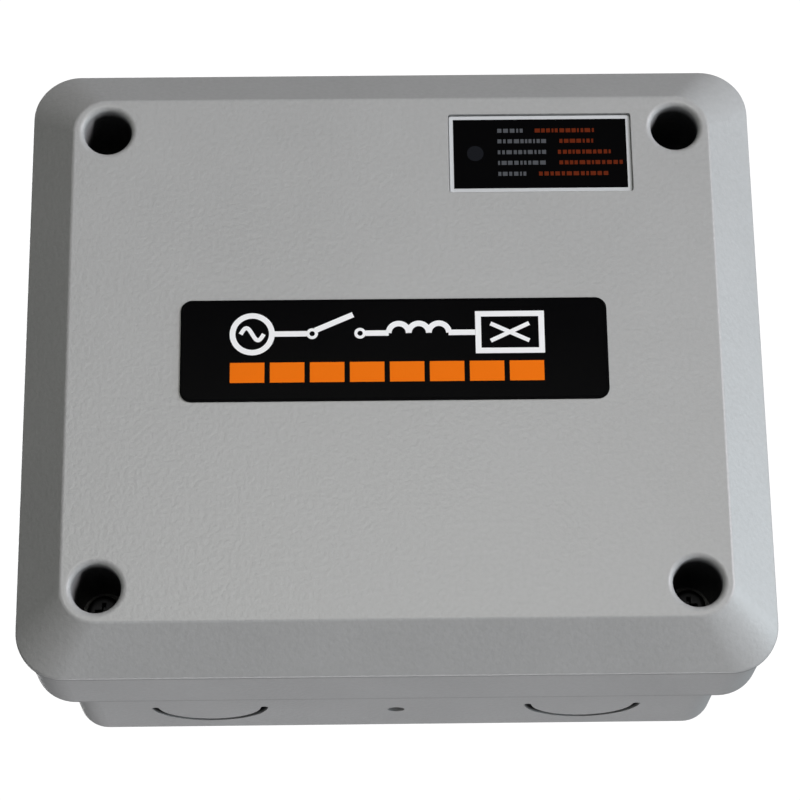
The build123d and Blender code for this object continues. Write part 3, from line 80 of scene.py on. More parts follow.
# ------------------------------------------------------------------ material building blocks
class Graph:
    """A node-based material: a principled shader, and short ways to add and join nodes."""

    def __init__(self, name):
        self.material = bpy.data.materials.new(name)
        self.material.use_nodes = True
        self.tree = self.material.node_tree
        self.shader = self.tree.nodes["Principled BSDF"]
        self.place = self.add("ShaderNodeTexCoord").outputs["Object"]

    def add(self, kind, **settings):
        node = self.tree.nodes.new(kind)
        for key, value in settings.items():
            setattr(node, key, value)
        return node

    def join(self, source, target):
        self.tree.links.new(source, target)

    def feed(self, target, value):
        """Joins a socket, or sets a plain value."""
        if isinstance(value, bpy.types.NodeSocket):
            self.join(value, target)
        else:
            target.default_value = value

    def maths(self, operation, first, second=0.0, third=0.0):
        node = self.add("ShaderNodeMath", operation=operation)
        for socket, value in zip(node.inputs, (first, second, third)):
            self.feed(socket, value)
        return node.outputs[0]

    def hypotenuse(self, first, second):
        """The length of a vector with these two parts."""
        squares = [self.maths("MULTIPLY", side, side) for side in (first, second)]
        return self.maths("SQRT", self.maths("ADD", *squares))

    def noise(self, scale, detail=2.0, where=None):
        node = self.add("ShaderNodeTexNoise")
        node.inputs["Scale"].default_value = scale
        node.inputs["Detail"].default_value = detail
        self.join(where or self.place, node.inputs["Vector"])
        return node.outputs["Fac"]

    def stretched(self, factors):
        """The place, stretched by a factor along each axis."""
        node = self.add("ShaderNodeMapping")
        node.inputs["Scale"].default_value = factors
        self.join(self.place, node.inputs["Vector"])
        return node.outputs["Vector"]

    def axes(self):
        """The place's X, Y and Z."""
        node = self.add("ShaderNodeSeparateXYZ")
        self.join(self.place, node.inputs[0])
        return node.outputs

    def ramp(self, value, low, high, start=0.0, end=1.0):
        """Maps value from low..high to start..end, smoothly and clamped."""
        node = self.add("ShaderNodeMapRange", interpolation_type="SMOOTHSTEP")
        for socket, item in zip(node.inputs, (value, low, high, start, end)):
            self.feed(socket, item)
        return node.outputs[0]

    def blend(self, share, first, second):
        """Mixes two colours."""
        node = self.add("ShaderNodeMix", data_type="RGBA")
        self.feed(node.inputs["Factor"], share)
        self.feed(node.inputs["A"], rgba(first))
        self.feed(node.inputs["B"], rgba(second))
        return node.outputs["Result"]

    def shine(self, **values):
        """Sets the shader's own inputs by name, with underscores for spaces."""
        for key, value in values.items():
            self.feed(self.shader.inputs[key.replace("_", " ")], value)


def rgba(colour):
    """A colour with its alpha, or the socket that gives one."""
    if isinstance(colour, bpy.types.NodeSocket):
        return colour
    return (*colour[:3], 1.0)


def shade(colour, factor):
    """A colour made brighter or darker."""
    return tuple(min(1.0, channel * factor) for channel in colour[:3])


def surface(
    name,
    colour,
    roughness,
    metallic=0.0,
    grain=0.5 * MM,
    bump=0.02 * MM,
    mottle=0.06,
    spread=0.12,
    edge=0.25 * MM,
    wear=0.25,
    pattern=None,
    finish_and_shade=None,
):
    """A moulded, painted or metal surface: grain, blotches, uneven gloss, softened and worn edges.

    pattern(graph) may return a height between 0 and 1 that is added to the grain, and the colour function
    (graph, colour)
    may return another colour: real markings, and painted shade on the enclosure's plastic."""
    graph = Graph(name)
    fine = graph.noise(1 / grain, 3.0)
    broad = graph.noise(1 / (28 * MM), 3.0)
    mixed = graph.maths("MULTIPLY_ADD", fine, 0.6, graph.maths("MULTIPLY", broad, 0.4))
    tone = graph.blend(mixed, shade(colour, 1 - mottle), shade(colour, 1 + mottle))
    bevel = None
    if edge:
        # softened edges: the bevelled normal turns away from the flat one only close to an edge
        bevel = graph.add("ShaderNodeBevel", samples=4)
        bevel.inputs["Radius"].default_value = edge
        flat = graph.add("ShaderNodeNewGeometry")
        turned = graph.add("ShaderNodeVectorMath", operation="DOT_PRODUCT")
        graph.join(bevel.outputs[0], turned.inputs[0])
        graph.join(flat.outputs["True Normal"], turned.inputs[1])
        rubbed = graph.ramp(turned.outputs["Value"], 0.995, 0.86)
        rubbed = graph.maths("MULTIPLY", rubbed, graph.ramp(graph.noise(1 / (3 * MM)), 0.35, 0.7))
        tone = graph.blend(graph.maths("MULTIPLY", rubbed, wear), tone, shade(colour, 1.7))
    if finish_and_shade:
        tone = finish_and_shade(graph, tone)
    height = fine
    if pattern:
        height = graph.maths("MULTIPLY_ADD", pattern(graph), 2.5, fine)
    raised = graph.add("ShaderNodeBump")
    raised.inputs["Strength"].default_value = 1.0
    raised.inputs["Distance"].default_value = bump
    graph.join(height, raised.inputs["Height"])
    if bevel:
        graph.join(bevel.outputs[0], raised.inputs["Normal"])
    gloss = graph.maths("MULTIPLY_ADD", graph.maths("SUBTRACT", broad, 0.5), spread, roughness)
    graph.shine(Base_Color=tone, Roughness=gloss, Metallic=metallic)
    graph.join(raised.outputs[0], graph.shader.inputs["Normal"])
    return graph


def dress(material, *names):
    """Gives CAD nodes or new pieces one material."""
    for name in names:
        piece = nodes[name] if isinstance(name, str) else name
        piece.data.materials.clear()
        piece.data.materials.append(material.material if isinstance(material, Graph) else material)


# ------------------------------------------------------------------ the materials
# in millimetres: the knockouts' centres, the circle of their slots, and how far the bottom wall is set back
KNOCKOUT_X, KNOCKOUT_LEVEL, KNOCKOUT_RADIUS, KNOCKOUT_SETBACK = 51.0, 24.5, 15.0, 6.0
# how far in front of the wall the painted shade lines run: ahead of the step, and under the cover's lip
SHADE_LINE_LEVELS = (56.2, 84.9)


def well_shade(graph, x, y, z):
    """How much painted shade a screw well gets: 0 outside and at its rim, 1 far down."""
    across = graph.maths("SUBTRACT", graph.maths("ABSOLUTE", x), well.x)
    up = graph.maths("SUBTRACT", graph.maths("ABSOLUTE", z), well.z)
    depth = graph.maths("SUBTRACT", y, face_y)
    inside = graph.ramp(graph.hypotenuse(across, up), 7.4 * MM, 6.9 * MM)
    inside = graph.maths("MULTIPLY", inside, graph.ramp(depth, 30.3 * MM, 30.1 * MM))
    # the painted shade starts deeper on the left wall of each well, as light from the right reaches further
    # down it
    left = graph.ramp(graph.maths("MULTIPLY", across, graph.maths("SIGN", x)), -3.0 * MM, -6.2 * MM)
    start = graph.ramp(left, 0.0, 1.0, 1.0 * MM, 3.0 * MM)
    end = graph.ramp(left, 0.0, 1.0, 4.5 * MM, 13.0 * MM)
    return graph.maths("MULTIPLY", inside, graph.ramp(depth, start, end))


def slot_shade(graph, x, y, z):
    """Painted shade, 1 inside the knockouts' slots: close to their circle and within the thickness of the
    bottom wall.
    """
    beside = graph.maths("SUBTRACT", graph.maths("ABSOLUTE", x), KNOCKOUT_X * MM)
    ahead = graph.maths("ADD", y, KNOCKOUT_LEVEL * MM)
    off = graph.maths("SUBTRACT", graph.hypotenuse(beside, ahead), KNOCKOUT_RADIUS * MM)
    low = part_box("enclosure_base")[0].z + KNOCKOUT_SETBACK * MM
    near = graph.ramp(graph.maths("ABSOLUTE", off), 1.4 * MM, 1.2 * MM)
    above = graph.ramp(z, low + 0.2 * MM, low + 0.9 * MM)
    below = graph.ramp(z, low + 2.9 * MM, low + 2.6 * MM)
    return graph.maths("MULTIPLY", graph.maths("MULTIPLY", near, above), below)


def enclosure_plastic():
    """Light grey spark-textured plastic, with painted shade down the screw wells, in the slots and along two
    lines.
    """

    def painted_shade(graph, tone):
        x, y, z = graph.axes()
        for level in SHADE_LINE_LEVELS:
            off = graph.maths("ABSOLUTE", graph.maths("ADD", y, level * MM))
            shade_line = graph.maths("MULTIPLY", graph.ramp(off, 0.8 * MM, 0.3 * MM), 0.45)
            # painted shade: a dark line where a rounded edge turns away from the light
            tone = graph.blend(shade_line, tone, (0.12, 0.12, 0.125))
        # painted shade, near black, down the screw wells and in the knockouts' slots
        dark = graph.maths("MAXIMUM", well_shade(graph, x, y, z), slot_shade(graph, x, y, z))
        return graph.blend(graph.maths("MULTIPLY", dark, 0.97), tone, (0.010, 0.010, 0.011))

    graph = surface(
        "enclosure_plastic",
        (0.40, 0.405, 0.405),
        0.36,
        grain=1.2 * MM,
        bump=0.09 * MM,
        mottle=0.14,
        spread=0.10,
        edge=0.35 * MM,
        wear=0.18,
        finish_and_shade=painted_shade,
    )
    graph.shine(IOR=1.5)
    return graph


WORKED_METAL = {"grain": 0.3 * MM, "mottle": 0.12, "spread": 0.2, "edge": 0.2 * MM}


def brushed(name, colour, roughness, along="X"):
    """Metal with fine drawn lines along one axis."""
    factors = {"X": (8, 2500, 2500), "Y": (2500, 8, 2500), "Z": (2500, 2500, 8)}[along]

    def lines(graph):
        return graph.noise(1.0, 2.0, graph.stretched(factors))

    return surface(name, colour, roughness, 1.0, bump=0.01 * MM, wear=0.35, pattern=lines, **WORKED_METAL)


def layered(name, colour, roughness, axis, pitch, metallic=1.0, bump=0.05 * MM):
    """Stacked sheets or wound turns seen edge on: a wave along one axis of the frame."""

    def sheets(graph):
        wave = graph.add("ShaderNodeTexWave", wave_type="BANDS", bands_direction=axis)
        wave.inputs["Scale"].default_value = 1 / pitch / 3.18
        wave.inputs["Distortion"].default_value = 0.3
        graph.join(graph.place, wave.inputs["Vector"])
        return wave.outputs["Fac"]

    def grooves(graph, tone):
        return graph.blend(graph.ramp(sheets(graph), 0.25, 0.0, 0.0, 0.7), tone, shade(colour, 0.35))

    worked = {"bump": bump, "wear": 0.3, "pattern": sheets, "finish_and_shade": grooves, **WORKED_METAL}
    return surface(name, colour, roughness, metallic, **worked)


def plastic(name, colour, roughness, grain=0.5, bump=0.02, mottle=0.06, wear=0.25):
    """Moulded or coated material; its grain and bump are in millimetres."""
    return surface(name, colour, roughness, grain=grain * MM, bump=bump * MM, mottle=mottle, wear=wear)


def see_through(name, colour, roughness, tint=0.35):
    """Clear moulded plastic or glass that stays cheap to light: mostly a thin clear coat."""
    graph = surface(name, colour, roughness, grain=1.5 * MM, bump=0.004 * MM, mottle=0.02, wear=0.05)
    graph.shine(Transmission_Weight=1 - tint, IOR=1.49)
    return graph


def ink(name, colour):
    """Printed or thin painted colour: fine grain and no softened edge."""
    graph = surface(name, colour, 0.45, grain=0.2 * MM, bump=0.004 * MM, mottle=0.06, edge=None)
    graph.shine(Specular_IOR_Level=0.25)
    return graph


def board_laminate():
    """Green solder mask over copper that is divided by thin straight gaps at uneven distances."""

    def tint(graph, tone):
        x, _, z = graph.axes()
        patches = graph.noise(1 / (16 * MM))
        upright, level = graph.ramp(patches, 0.49, 0.51), graph.ramp(patches, 0.51, 0.49)
        nearest = 1.0
        for place, hidden in ((x, upright), (z, level)):
            cells = graph.add("ShaderNodeTexVoronoi", feature="DISTANCE_TO_EDGE", voronoi_dimensions="1D")
            cells.inputs["Scale"].default_value = 1 / (2.2 * MM)
            graph.join(place, cells.inputs["W"])
            nearest = graph.maths("MINIMUM", nearest, graph.maths("ADD", cells.outputs["Distance"], hidden))
        copper = graph.ramp(nearest, 0.03, 0.07, 0.0, 0.8)
        return graph.blend(copper, (0.006, 0.045, 0.02), tone)

    mask = (0.014, 0.115, 0.045)
    return surface("board_laminate", mask, 0.3, grain=0.3 * MM, bump=0.012 * MM, mottle=0.15, finish_and_shade=tint)


MATERIALS = {
    "enclosure": enclosure_plastic(),
    "gasket": plastic("gasket_rubber", (0.018, 0.018, 0.019), 0.75, 0.35, 0.05, 0.3),
    "zinc": brushed("zinc_steel", (0.60, 0.61, 0.63), 0.32),
    "plate": brushed("zinc_plate", (0.62, 0.60, 0.52), 0.36, "Z"),
    "core": layered("core_steel", (0.26, 0.26, 0.28), 0.42, "X", 0.5 * MM),
    "frame_core": layered("transformer_steel", (0.20, 0.20, 0.21), 0.45, "Z", 0.5 * MM),
    "insert": brushed("insert_brass", (0.72, 0.52, 0.22), 0.3, "Y"),
    "badge": plastic("badge_film", (0.0014, 0.0014, 0.0018), 0.22, 0.25, 0.006, 0.25, 0.1),
    "lens": plastic("window_lens", (0.62, 0.64, 0.66), 0.22, 0.6, 0.006, 0.04, 0.1),
    "pipe": see_through("clear_acrylic", (0.92, 0.95, 0.96), 0.12, 0.15),
    "black": plastic("contactor_plastic", (0.022, 0.022, 0.024), 0.5, 0.4, 0.03, 0.25),
    "carrier": plastic("carrier_plastic", (0.33, 0.035, 0.02), 0.5, 0.35, 0.03, 0.15),
    "bobbin": plastic("bobbin_plastic", (0.60, 0.58, 0.50), 0.45, 0.5, 0.02),
    "copper": brushed("copper", (0.78, 0.36, 0.20), 0.3, "Z"),
    "tape": layered("coil_tape", (0.62, 0.40, 0.05), 0.35, "Y", 1.1 * MM, 0.0),
    "silver": surface("contact_silver", (0.78, 0.77, 0.74), 0.28, 1.0, 0.2 * MM, 0.02 * MM, 0.1),
    "lug": brushed("lug_aluminium", (0.66, 0.67, 0.68), 0.34, "Z"),
    "tin": surface("tin_brass", (0.66, 0.62, 0.50), 0.3, 1.0, 0.3 * MM, 0.01 * MM, 0.12),
    "spring": surface("spring_steel", (0.52, 0.52, 0.54), 0.25, 1.0, 0.2 * MM, 0.006 * MM, 0.1),
    "relay": plastic("relay_plastic", (0.012, 0.06, 0.24), 0.3, 0.4, 0.015, 0.1),
    "sleeve": plastic("capacitor_sleeve", (0.010, 0.012, 0.035), 0.28, 0.6, 0.01, 0.15),
    "epoxy": plastic("chip_epoxy", (0.015, 0.015, 0.015), 0.55, 0.15, 0.02, 0.3),
    "terminal": plastic("terminal_plastic", (0.015, 0.17, 0.055), 0.38, 0.5, 0.02, 0.1),
    "button": plastic("button_plastic", (0.02, 0.02, 0.02), 0.4, 0.25, 0.02, 0.2),
    "dial": plastic("dial_plastic", (0.75, 0.74, 0.70), 0.4, 0.3, 0.01),
    "wire": plastic("wire_insulation", (0.012, 0.012, 0.013), 0.35, 0.8, 0.015, 0.2),
    "boot": plastic("boot_vinyl", (0.42, 0.03, 0.02), 0.35, 0.5, 0.015, 0.1),
    "white_ink": ink("white_ink", (0.93, 0.94, 0.96)),
    "orange_ink": ink("orange_ink", (0.92, 0.185, 0.006)),
    "red_ink": ink("red_ink", (0.13, 0.020, 0.006)),
    "legend_ink": ink("legend_ink", (0.34, 0.35, 0.36)),
    "window_ink": ink("window_ink", (0.085, 0.09, 0.10)),
    "mask_ink": ink("mask_ink", (0.0009, 0.0009, 0.0012)),
    "lamp": ink("unlit_lamp", (0.010, 0.011, 0.014)),
    "label": ink("label_film", (0.50, 0.51, 0.50)),
    "ceramic": ink("ceramic", (0.42, 0.25, 0.13)),
    "band_brown": ink("band_brown", (0.10, 0.03, 0.01)),
    "band_black": ink("band_black", (0.01, 0.01, 0.01)),
    "band_red": ink("band_red", (0.50, 0.02, 0.01)),
    "band_gold": ink("band_gold", (0.55, 0.36, 0.08)),
    "led": see_through("led_lens", (0.55, 0.05, 0.04), 0.2, 0.6),
    "glass": see_through("fuse_glass", (0.95, 0.97, 0.97), 0.05, 0.1),
    "board": board_laminate(),
    "track": surface("track_mask", (0.028, 0.19, 0.07), 0.28, grain=0.3 * MM, bump=0.01 * MM, edge=None),
    "resistor": plastic("resistor_body", (0.12, 0.32, 0.42), 0.3, 0.3, 0.01, 0.1),
    # near black, so that the screw heads read as the shade down their wells: painted shade
    "screw": brushed("shade_dark_screw", (0.022, 0.022, 0.024), 0.5, "Y"),
}


# dark and deep print reflects almost nothing at the angle of the main view
for key in ("badge", "mask_ink", "lamp", "window_ink", "red_ink", "orange_ink"):
    MATERIALS[key].shine(Specular_IOR_Level=0.02)

DRESSES = {
    "enclosure": ("enclosure_base", "front_cover"),
    "gasket": ("cover_gasket", "screw_seal_rings"),
    "zinc": (
        *SCREW_NODES, "housing_screws", "plate_screws", "board_screws", "lug_screws",
        "terminal_block_screws", "ground_clamp_screws", "ground_bar_screws", "armature_pin",
    ),
    "plate": ("contactor_plate",),
    "core": ("fixed_core", "moving_core"),
    "frame_core": ("transformer_core",),
    "insert": ("threaded_inserts",),
    "badge": ("front_badge",),
    "lens": ("status_window",),
    "pipe": ("light_pipe",),
    "black": ("coil_housing", "pole_housing", "arc_cover"),
    "carrier": ("contact_carrier",),
    "bobbin": ("coil_bobbin", "transformer_bobbin"),
    "copper": ("contact_bridges", "terminal_straps"),
    "tape": ("coil_winding", "transformer_winding"),
    "silver": ("bridge_tips", "fixed_tips"),
    "lug": ("wire_lugs", "ground_bar"),
    "tin": ("coil_terminals", "chip_leads", "fuse_caps", "fuse_clips"),
    "spring": ("return_springs", "contact_springs"),
    "relay": ("board_relay", "priority_switch_body"),
    "sleeve": ("capacitors",),
    "epoxy": ("controller_chip",),
    "terminal": ("terminal_blocks",),
    "button": ("test_button_body", "test_button_cap"),
    "dial": ("priority_dial",),
    "wire": ("coil_wires", "sense_wires"),
    "boot": ("wire_boots",),
    "board": ("circuit_board",),
    "resistor": ("resistors",),
    "led": ("status_led",),
    "glass": ("fuse_glass",),
}
for key, names in DRESSES.items():
    dress(MATERIALS[key], *names)


# ------------------------------------------------------------------ shapes, in millimetres
Span = collections.namedtuple("Span", "left right back front bottom top x z")


def span(node):
    """A CAD node's box in millimetres; back and front are distances in front of the wall."""
    low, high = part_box(node)
    low, high = low / MM, high / MM
    return Span(low.x, high.x, -high.y, -low.y, low.z, high.z, (low.x + high.x) / 2, (low.z + high.z) / 2)


def scaled_mesh(name, form):
    """Turns a bmesh drawn in millimetres into a mesh in metres with its faces outwards."""
    bmesh.ops.scale(form, vec=(MM, MM, MM), verts=form.verts)
    bmesh.ops.recalc_face_normals(form, faces=form.faces)
    mesh = bpy.data.meshes.new(name)
    form.to_mesh(mesh)
    form.free()
    return mesh


def piece(name, form, body, material, slot=None, smooth=False):
    """Turns a bmesh drawn in millimetres into a named piece that rides on one CAD body."""
    mesh = scaled_mesh(name, form)
    obj = bpy.data.objects.new(name, mesh)
    bpy.context.scene.collection.objects.link(obj)
    if smooth:
        mesh.polygons.foreach_set("use_smooth", [True] * len(mesh.polygons))
        mesh.set_sharp_from_angle(angle=math.radians(40))
    dress(MATERIALS[material], obj)
    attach(obj, body)
    return obj


def bar(form, left, right, bottom, top, back, front):
    """A box between two X values, two Z values and two distances from the wall."""
    made = bmesh.ops.create_cube(form, size=1.0)["verts"]
    bmesh.ops.scale(form, vec=(right - left, front - back, top - bottom), verts=made)
    shift = ((left + right) / 2, -(back + front) / 2, (bottom + top) / 2)
    bmesh.ops.translate(form, vec=shift, verts=made)


def even_turns(count):
    """Angles at even steps round a whole turn."""
    return [2 * math.pi * k / count for k in range(count)]


def block(form, x, z, half_x, half_z, back, front):
    """A box round a middle."""
    bar(form, x - half_x, x + half_x, z - half_z, z + half_z, back, front)


def ring(form, x, z, distance, radii):
    """Points round an axis along Y, one for each radius."""
    made = []
    for radius, turn in zip(radii, even_turns(len(radii))):
        made.append(form.verts.new((x + radius * math.cos(turn), -distance, z + radius * math.sin(turn))))
    return made


def skin(form, rings, capped=True):
    """Joins each ring of points to the next with faces, and closes the ends."""
    for first, second in zip(rings, rings[1:]):
        for k in range(len(first)):
            j = (k + 1) % len(first)
            form.faces.new((first[k], first[j], second[j], second[k]))
    if capped:
        form.faces.new(rings[0])
        form.faces.new(rings[-1])


def lathe(form, x, z, profile, segments=32):
    """Turns a profile of (radius, distance from the wall) pairs round an axis along Y."""
    rings = []
    for radius, distance in profile:
        rings.append(ring(form, x, z, distance, [radius] * (segments if radius else 1)))
    for first, second in zip(rings, rings[1:]):
        for i in range(segments):
            j = (i + 1) % segments
            picks = ((first, i), (first, j), (second, j), (second, i))
            # a ring of one point, on the axis, gives a triangle
            form.faces.new(dict.fromkeys(points[k % len(points)] for points, k in picks))


def disc(form, x, z, radius, back, front, segments=24):
    """A short solid cylinder along Y."""
    lathe(form, x, z, [(0, back), (radius, back), (radius, front), (0, front)], segments)


def washer(form, x, z, outer, inner, back, front, segments=32):
    """A flat ring round an axis along Y."""
    lathe(form, x, z, [(inner, back), (outer, back), (outer, front), (inner, front), (inner, back)], segments)


LAYERS = itertools.count()


def ribbon(form, points, width, back, front, closed=False):
    """A flat line of one width through (x, z) points, raised between two distances from the wall.

    Each line lies a few thousandths of a millimetre above the last, so crossing lines share no face."""
    front += 0.003 * (next(LAYERS) % 20)
    path = [Vector(p) for p in points]
    count = len(path)
    rows = []
    for i, here in enumerate(path):
        ahead = path[(i + 1) % count] if closed or i < count - 1 else None
        behind = path[i - 1] if closed or i else None
        first = (here - behind if behind is not None else ahead - here).normalized()
        second = (ahead - here).normalized() if ahead is not None else first
        along = (first + second).normalized()
        side = Vector((-along.y, along.x)) * width / 2 / max(0.4, along.dot(first))
        corners = ((here + side, back), (here - side, back), (here - side, front), (here + side, front))
        rows.append([form.verts.new((spot.x, -distance, spot.y)) for spot, distance in corners])
    skin(form, rows + rows[:1] if closed else rows, capped=not closed)


def circle(x, z, radius, count=36, start=0.0, end=360.0):
    """Points on a circle or an arc."""
    whole = abs(end - start) >= 360
    steps = count if whole else count - 1
    angles = [math.radians(start + (end - start) * i / steps) for i in range(count)]
    return [(x + radius * math.cos(a), z + radius * math.sin(a)) for a in angles]


def rectangle(left, right, bottom, top):
    """A rectangle's corners."""
    return ((left, bottom), (right, bottom), (right, top), (left, top))


def fence(form, box, gap, width, back, front):
    """An outline at one distance round a CAD node's box."""
    corners = rectangle(box.left - gap, box.right + gap, box.bottom - gap, box.top + gap)
    ribbon(form, corners, width, back, front, closed=True)


def tube(form, points, radius, segments=10):
    """A round wire through points (x, distance from the wall, z)."""
    path = [Vector((x, -distance, z)) for x, distance, z in points]
    rings = []
    side = None
    for i, here in enumerate(path):
        along = (path[min(i + 1, len(path) - 1)] - path[max(i - 1, 0)]).normalized()
        if side is None:
            side = along.orthogonal().normalized()
        side = (side - along * side.dot(along)).normalized()
        across = along.cross(side)
        spots = [side * math.cos(turn) + across * math.sin(turn) for turn in even_turns(segments)]
        rings.append([form.verts.new(here + radius * spot) for spot in spots])
    skin(form, rings)


# the share of a spring's length that each closed end takes
CLOSED_RISE = 0.06


def coil_points(x, z, foot, head, radius, turns, dead=0.9):
    """A compression spring's centre line: closed turns at both ends and open ones between."""
    points = []
    count = int(turns * 20)
    for i in range(count + 1):
        turn = turns * i / count
        share = min(max((turn - dead) / (turns - 2 * dead), 0), 1)
        closing = (min(turn, dead) - min(turns - turn, dead)) / dead
        rise = (1 - 2 * CLOSED_RISE) * share + CLOSED_RISE * (1 + closing)
        distance = foot + (head - foot) * min(max(rise, 0), 1)
        angle = 2 * math.pi * turn
        points.append((x + radius * math.cos(angle), distance, z + radius * math.sin(angle)))
    return points


# ------------------------------------------------------------------ print on the badge and the window
def badge_print():
    """White one-line electrical symbols over a row of plain orange blocks."""
    badge = span("front_badge")
    back, front = badge.front - 0.02, badge.front + 0.03
    line, thin, middle, reach, source = 1.5, 1.1, 4.5, 5.1, -36.7
    low, high = middle - 2.4, middle + 2.4
    wave = [(source - 3 + 6 * i / 24, middle + 1.7 * math.sin(2 * math.pi * i / 24)) for i in range(25)]
    strokes = (
        # the source
        (circle(source, middle, reach), line, True),
        (wave, thin, False),
        # the open switch between its contacts
        ([(-31.2, middle), (-22.6, middle)], line, False),
        (circle(-21.2, middle, 1.1, 24), 0.8, True),
        ([(-20.4, middle + 0.9), (-10.6, middle + 5.2)], line, False),
        (circle(-8.8, middle, 1.1, 24), 0.8, True),
        # the coil
        ([(-7.4, middle), (-1.4, middle)], line, False),
        *((circle(1.2 + 5.2 * step, middle, 2.6, 18, 180, 0), line, False) for step in range(3)),
        ([(14.1, middle), (21.0, middle)], line, False),
        # the load
        (rectangle(21.8, 38.2, middle - reach, middle + reach), line, True),
        ([(25.0, low), (35.0, high)], thin, False),
        ([(25.0, high), (35.0, low)], thin, False),
    )
    white = bmesh.new()
    for points, width, closed in strokes:
        ribbon(white, points, width, back, front, closed)
    piece("badge_symbols", white, "cover", "white_ink")
    orange = bmesh.new()
    for step in range(8):
        left = -42.4 + 10.3 * step
        bar(orange, left, left + 8.9, -8.9, -3.4, back, front)
    piece("badge_blocks", orange, "cover", "orange_ink")
    edge = bmesh.new()
    inset, corner = 0.5, 2.6
    outline = []
    for side_x, side_z, start in ((1, 1, 0), (-1, 1, 90), (-1, -1, 180), (1, -1, 270)):
        turn_x = badge.x + side_x * ((badge.right - badge.left) / 2 - inset - corner)
        turn_z = badge.z + side_z * ((badge.top - badge.bottom) / 2 - inset - corner)
        outline += circle(turn_x, turn_z, corner, 8, start, start + 90)
    ribbon(edge, outline, 0.35, back, badge.front + 0.05, closed=True)
    piece("badge_border", edge, "cover", "badge")


# each legend row: its height, then where its white part ends and where its orange part starts and ends
LEGEND = (
    (62.5, 35.0, 38.2, 54.0),
    (59.4, 41.2, 44.7, 54.0),
    (56.2, 41.2, 44.2, 58.5),
    (53.1, 41.2, 44.5, 61.8),
    (49.9, 36.2, 39.0, 57.5),
)
LEGEND_LEFT = 28.2


def dashes(form, left, right, row, back, front, rng):
    """A row of short plain dashes of uneven length, filling the space from left to right."""
    x = left
    while x < right - 0.5:
        end = min(x + rng.uniform(0.5, 1.5), right)
        bar(form, x, end, row - 0.58, row + 0.58, back, front)
        x = end + rng.uniform(0.3, 0.5)


def window_print():
    """The window's black mask, its legend rows of plain dashes, and the spot where the lamp shows."""
    lens, lamp = span("status_window"), span("status_led")
    margin = 1.1
    back, front = lens.front - 0.02, lens.front + 0.02
    mask = bmesh.new()
    bar(mask, lens.left + margin, lens.right - margin, lens.bottom + margin, lens.top - margin, back, front)
    piece("window_mask", mask, "cover", "mask_ink")
    rng = random.Random(5)
    white, red = bmesh.new(), bmesh.new()
    for row, white_end, red_start, red_end in LEGEND:
        dashes(white, LEGEND_LEFT, white_end, row, front - 0.01, front + 0.02, rng)
        dashes(red, red_start, red_end, row, front - 0.01, front + 0.02, rng)
    piece("legend_white", white, "cover", "window_ink")
    piece("legend_orange", red, "cover", "red_ink")
    spot = bmesh.new()
    disc(spot, lamp.x, lamp.z, 2.2, front - 0.01, front + 0.015, 40)
    piece("lamp_spot", spot, "cover", "lamp")


# ------------------------------------------------------------------ cover screws
HEAD_RISE, HEAD_RADIUS, HEAD_CROWN, COLLAR = 3.4, 4.5, 1.5, 1.0
SHANK_RADIUS, ROOT_RADIUS, THREAD_PITCH = 2.5, 1.95, 1.6
CROSS_LONG, CROSS_SHORT, CROSS_DEPTH, CROSS_TAPER = 2.7, 0.6, 1.9, 0.6


def cut(obj, form):
    """Cuts a bmesh drawn in millimetres out of a piece."""
    tool = bpy.data.objects.new("cutter", scaled_mesh("cutter", form))
    bpy.context.scene.collection.objects.link(tool)
    modifier = obj.modifiers.new("cut", "BOOLEAN")
    modifier.operation, modifier.object, modifier.solver = "DIFFERENCE", tool, "EXACT"
    view = bpy.context.evaluated_depsgraph_get()
    made = bpy.data.meshes.new_from_object(obj.evaluated_get(view))
    obj.modifiers.clear()
    obj.data = made
    bpy.data.objects.remove(tool)


def screw_head(node, body):
    """A pan head with a tapered cross recess, which stands for the plain CAD screw."""
    box = span(node)
    back, crown = box.front - HEAD_RISE, box.front - HEAD_CROWN
    profile = [(0, back - COLLAR), (SHANK_RADIUS, back - COLLAR), (SHANK_RADIUS, back)]
    profile += [(HEAD_RADIUS - 0.1, back), (HEAD_RADIUS, back + 0.3), (HEAD_RADIUS, crown)]
    flat = HEAD_RADIUS - HEAD_CROWN
    for step in range(1, 7):
        turn = math.radians(15 * step)
        profile.append((flat + HEAD_CROWN * math.cos(turn), crown + HEAD_CROWN * math.sin(turn)))
    profile.append((0, box.front))
    head = bmesh.new()
    lathe(head, box.x, box.z, profile, 48)
    obj = piece(f"{node}_head", head, body, "screw", "zinc_steel", smooth=True)
    for half_x, half_z in ((CROSS_LONG, CROSS_SHORT), (CROSS_SHORT, CROSS_LONG)):
        # each arm of the cross is its own cut: arms that overlap in one cutter leave nothing of the head
        arm = bmesh.new()
        block(arm, box.x, box.z, half_x, half_z, box.front - CROSS_DEPTH, box.front + 1)
        for v in arm.verts:
            if v.co.y > -box.front:
                v.co.x = box.x + (v.co.x - box.x) * CROSS_TAPER
                v.co.z = box.z + (v.co.z - box.z) * CROSS_TAPER
        cut(obj, arm)
    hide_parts(node)


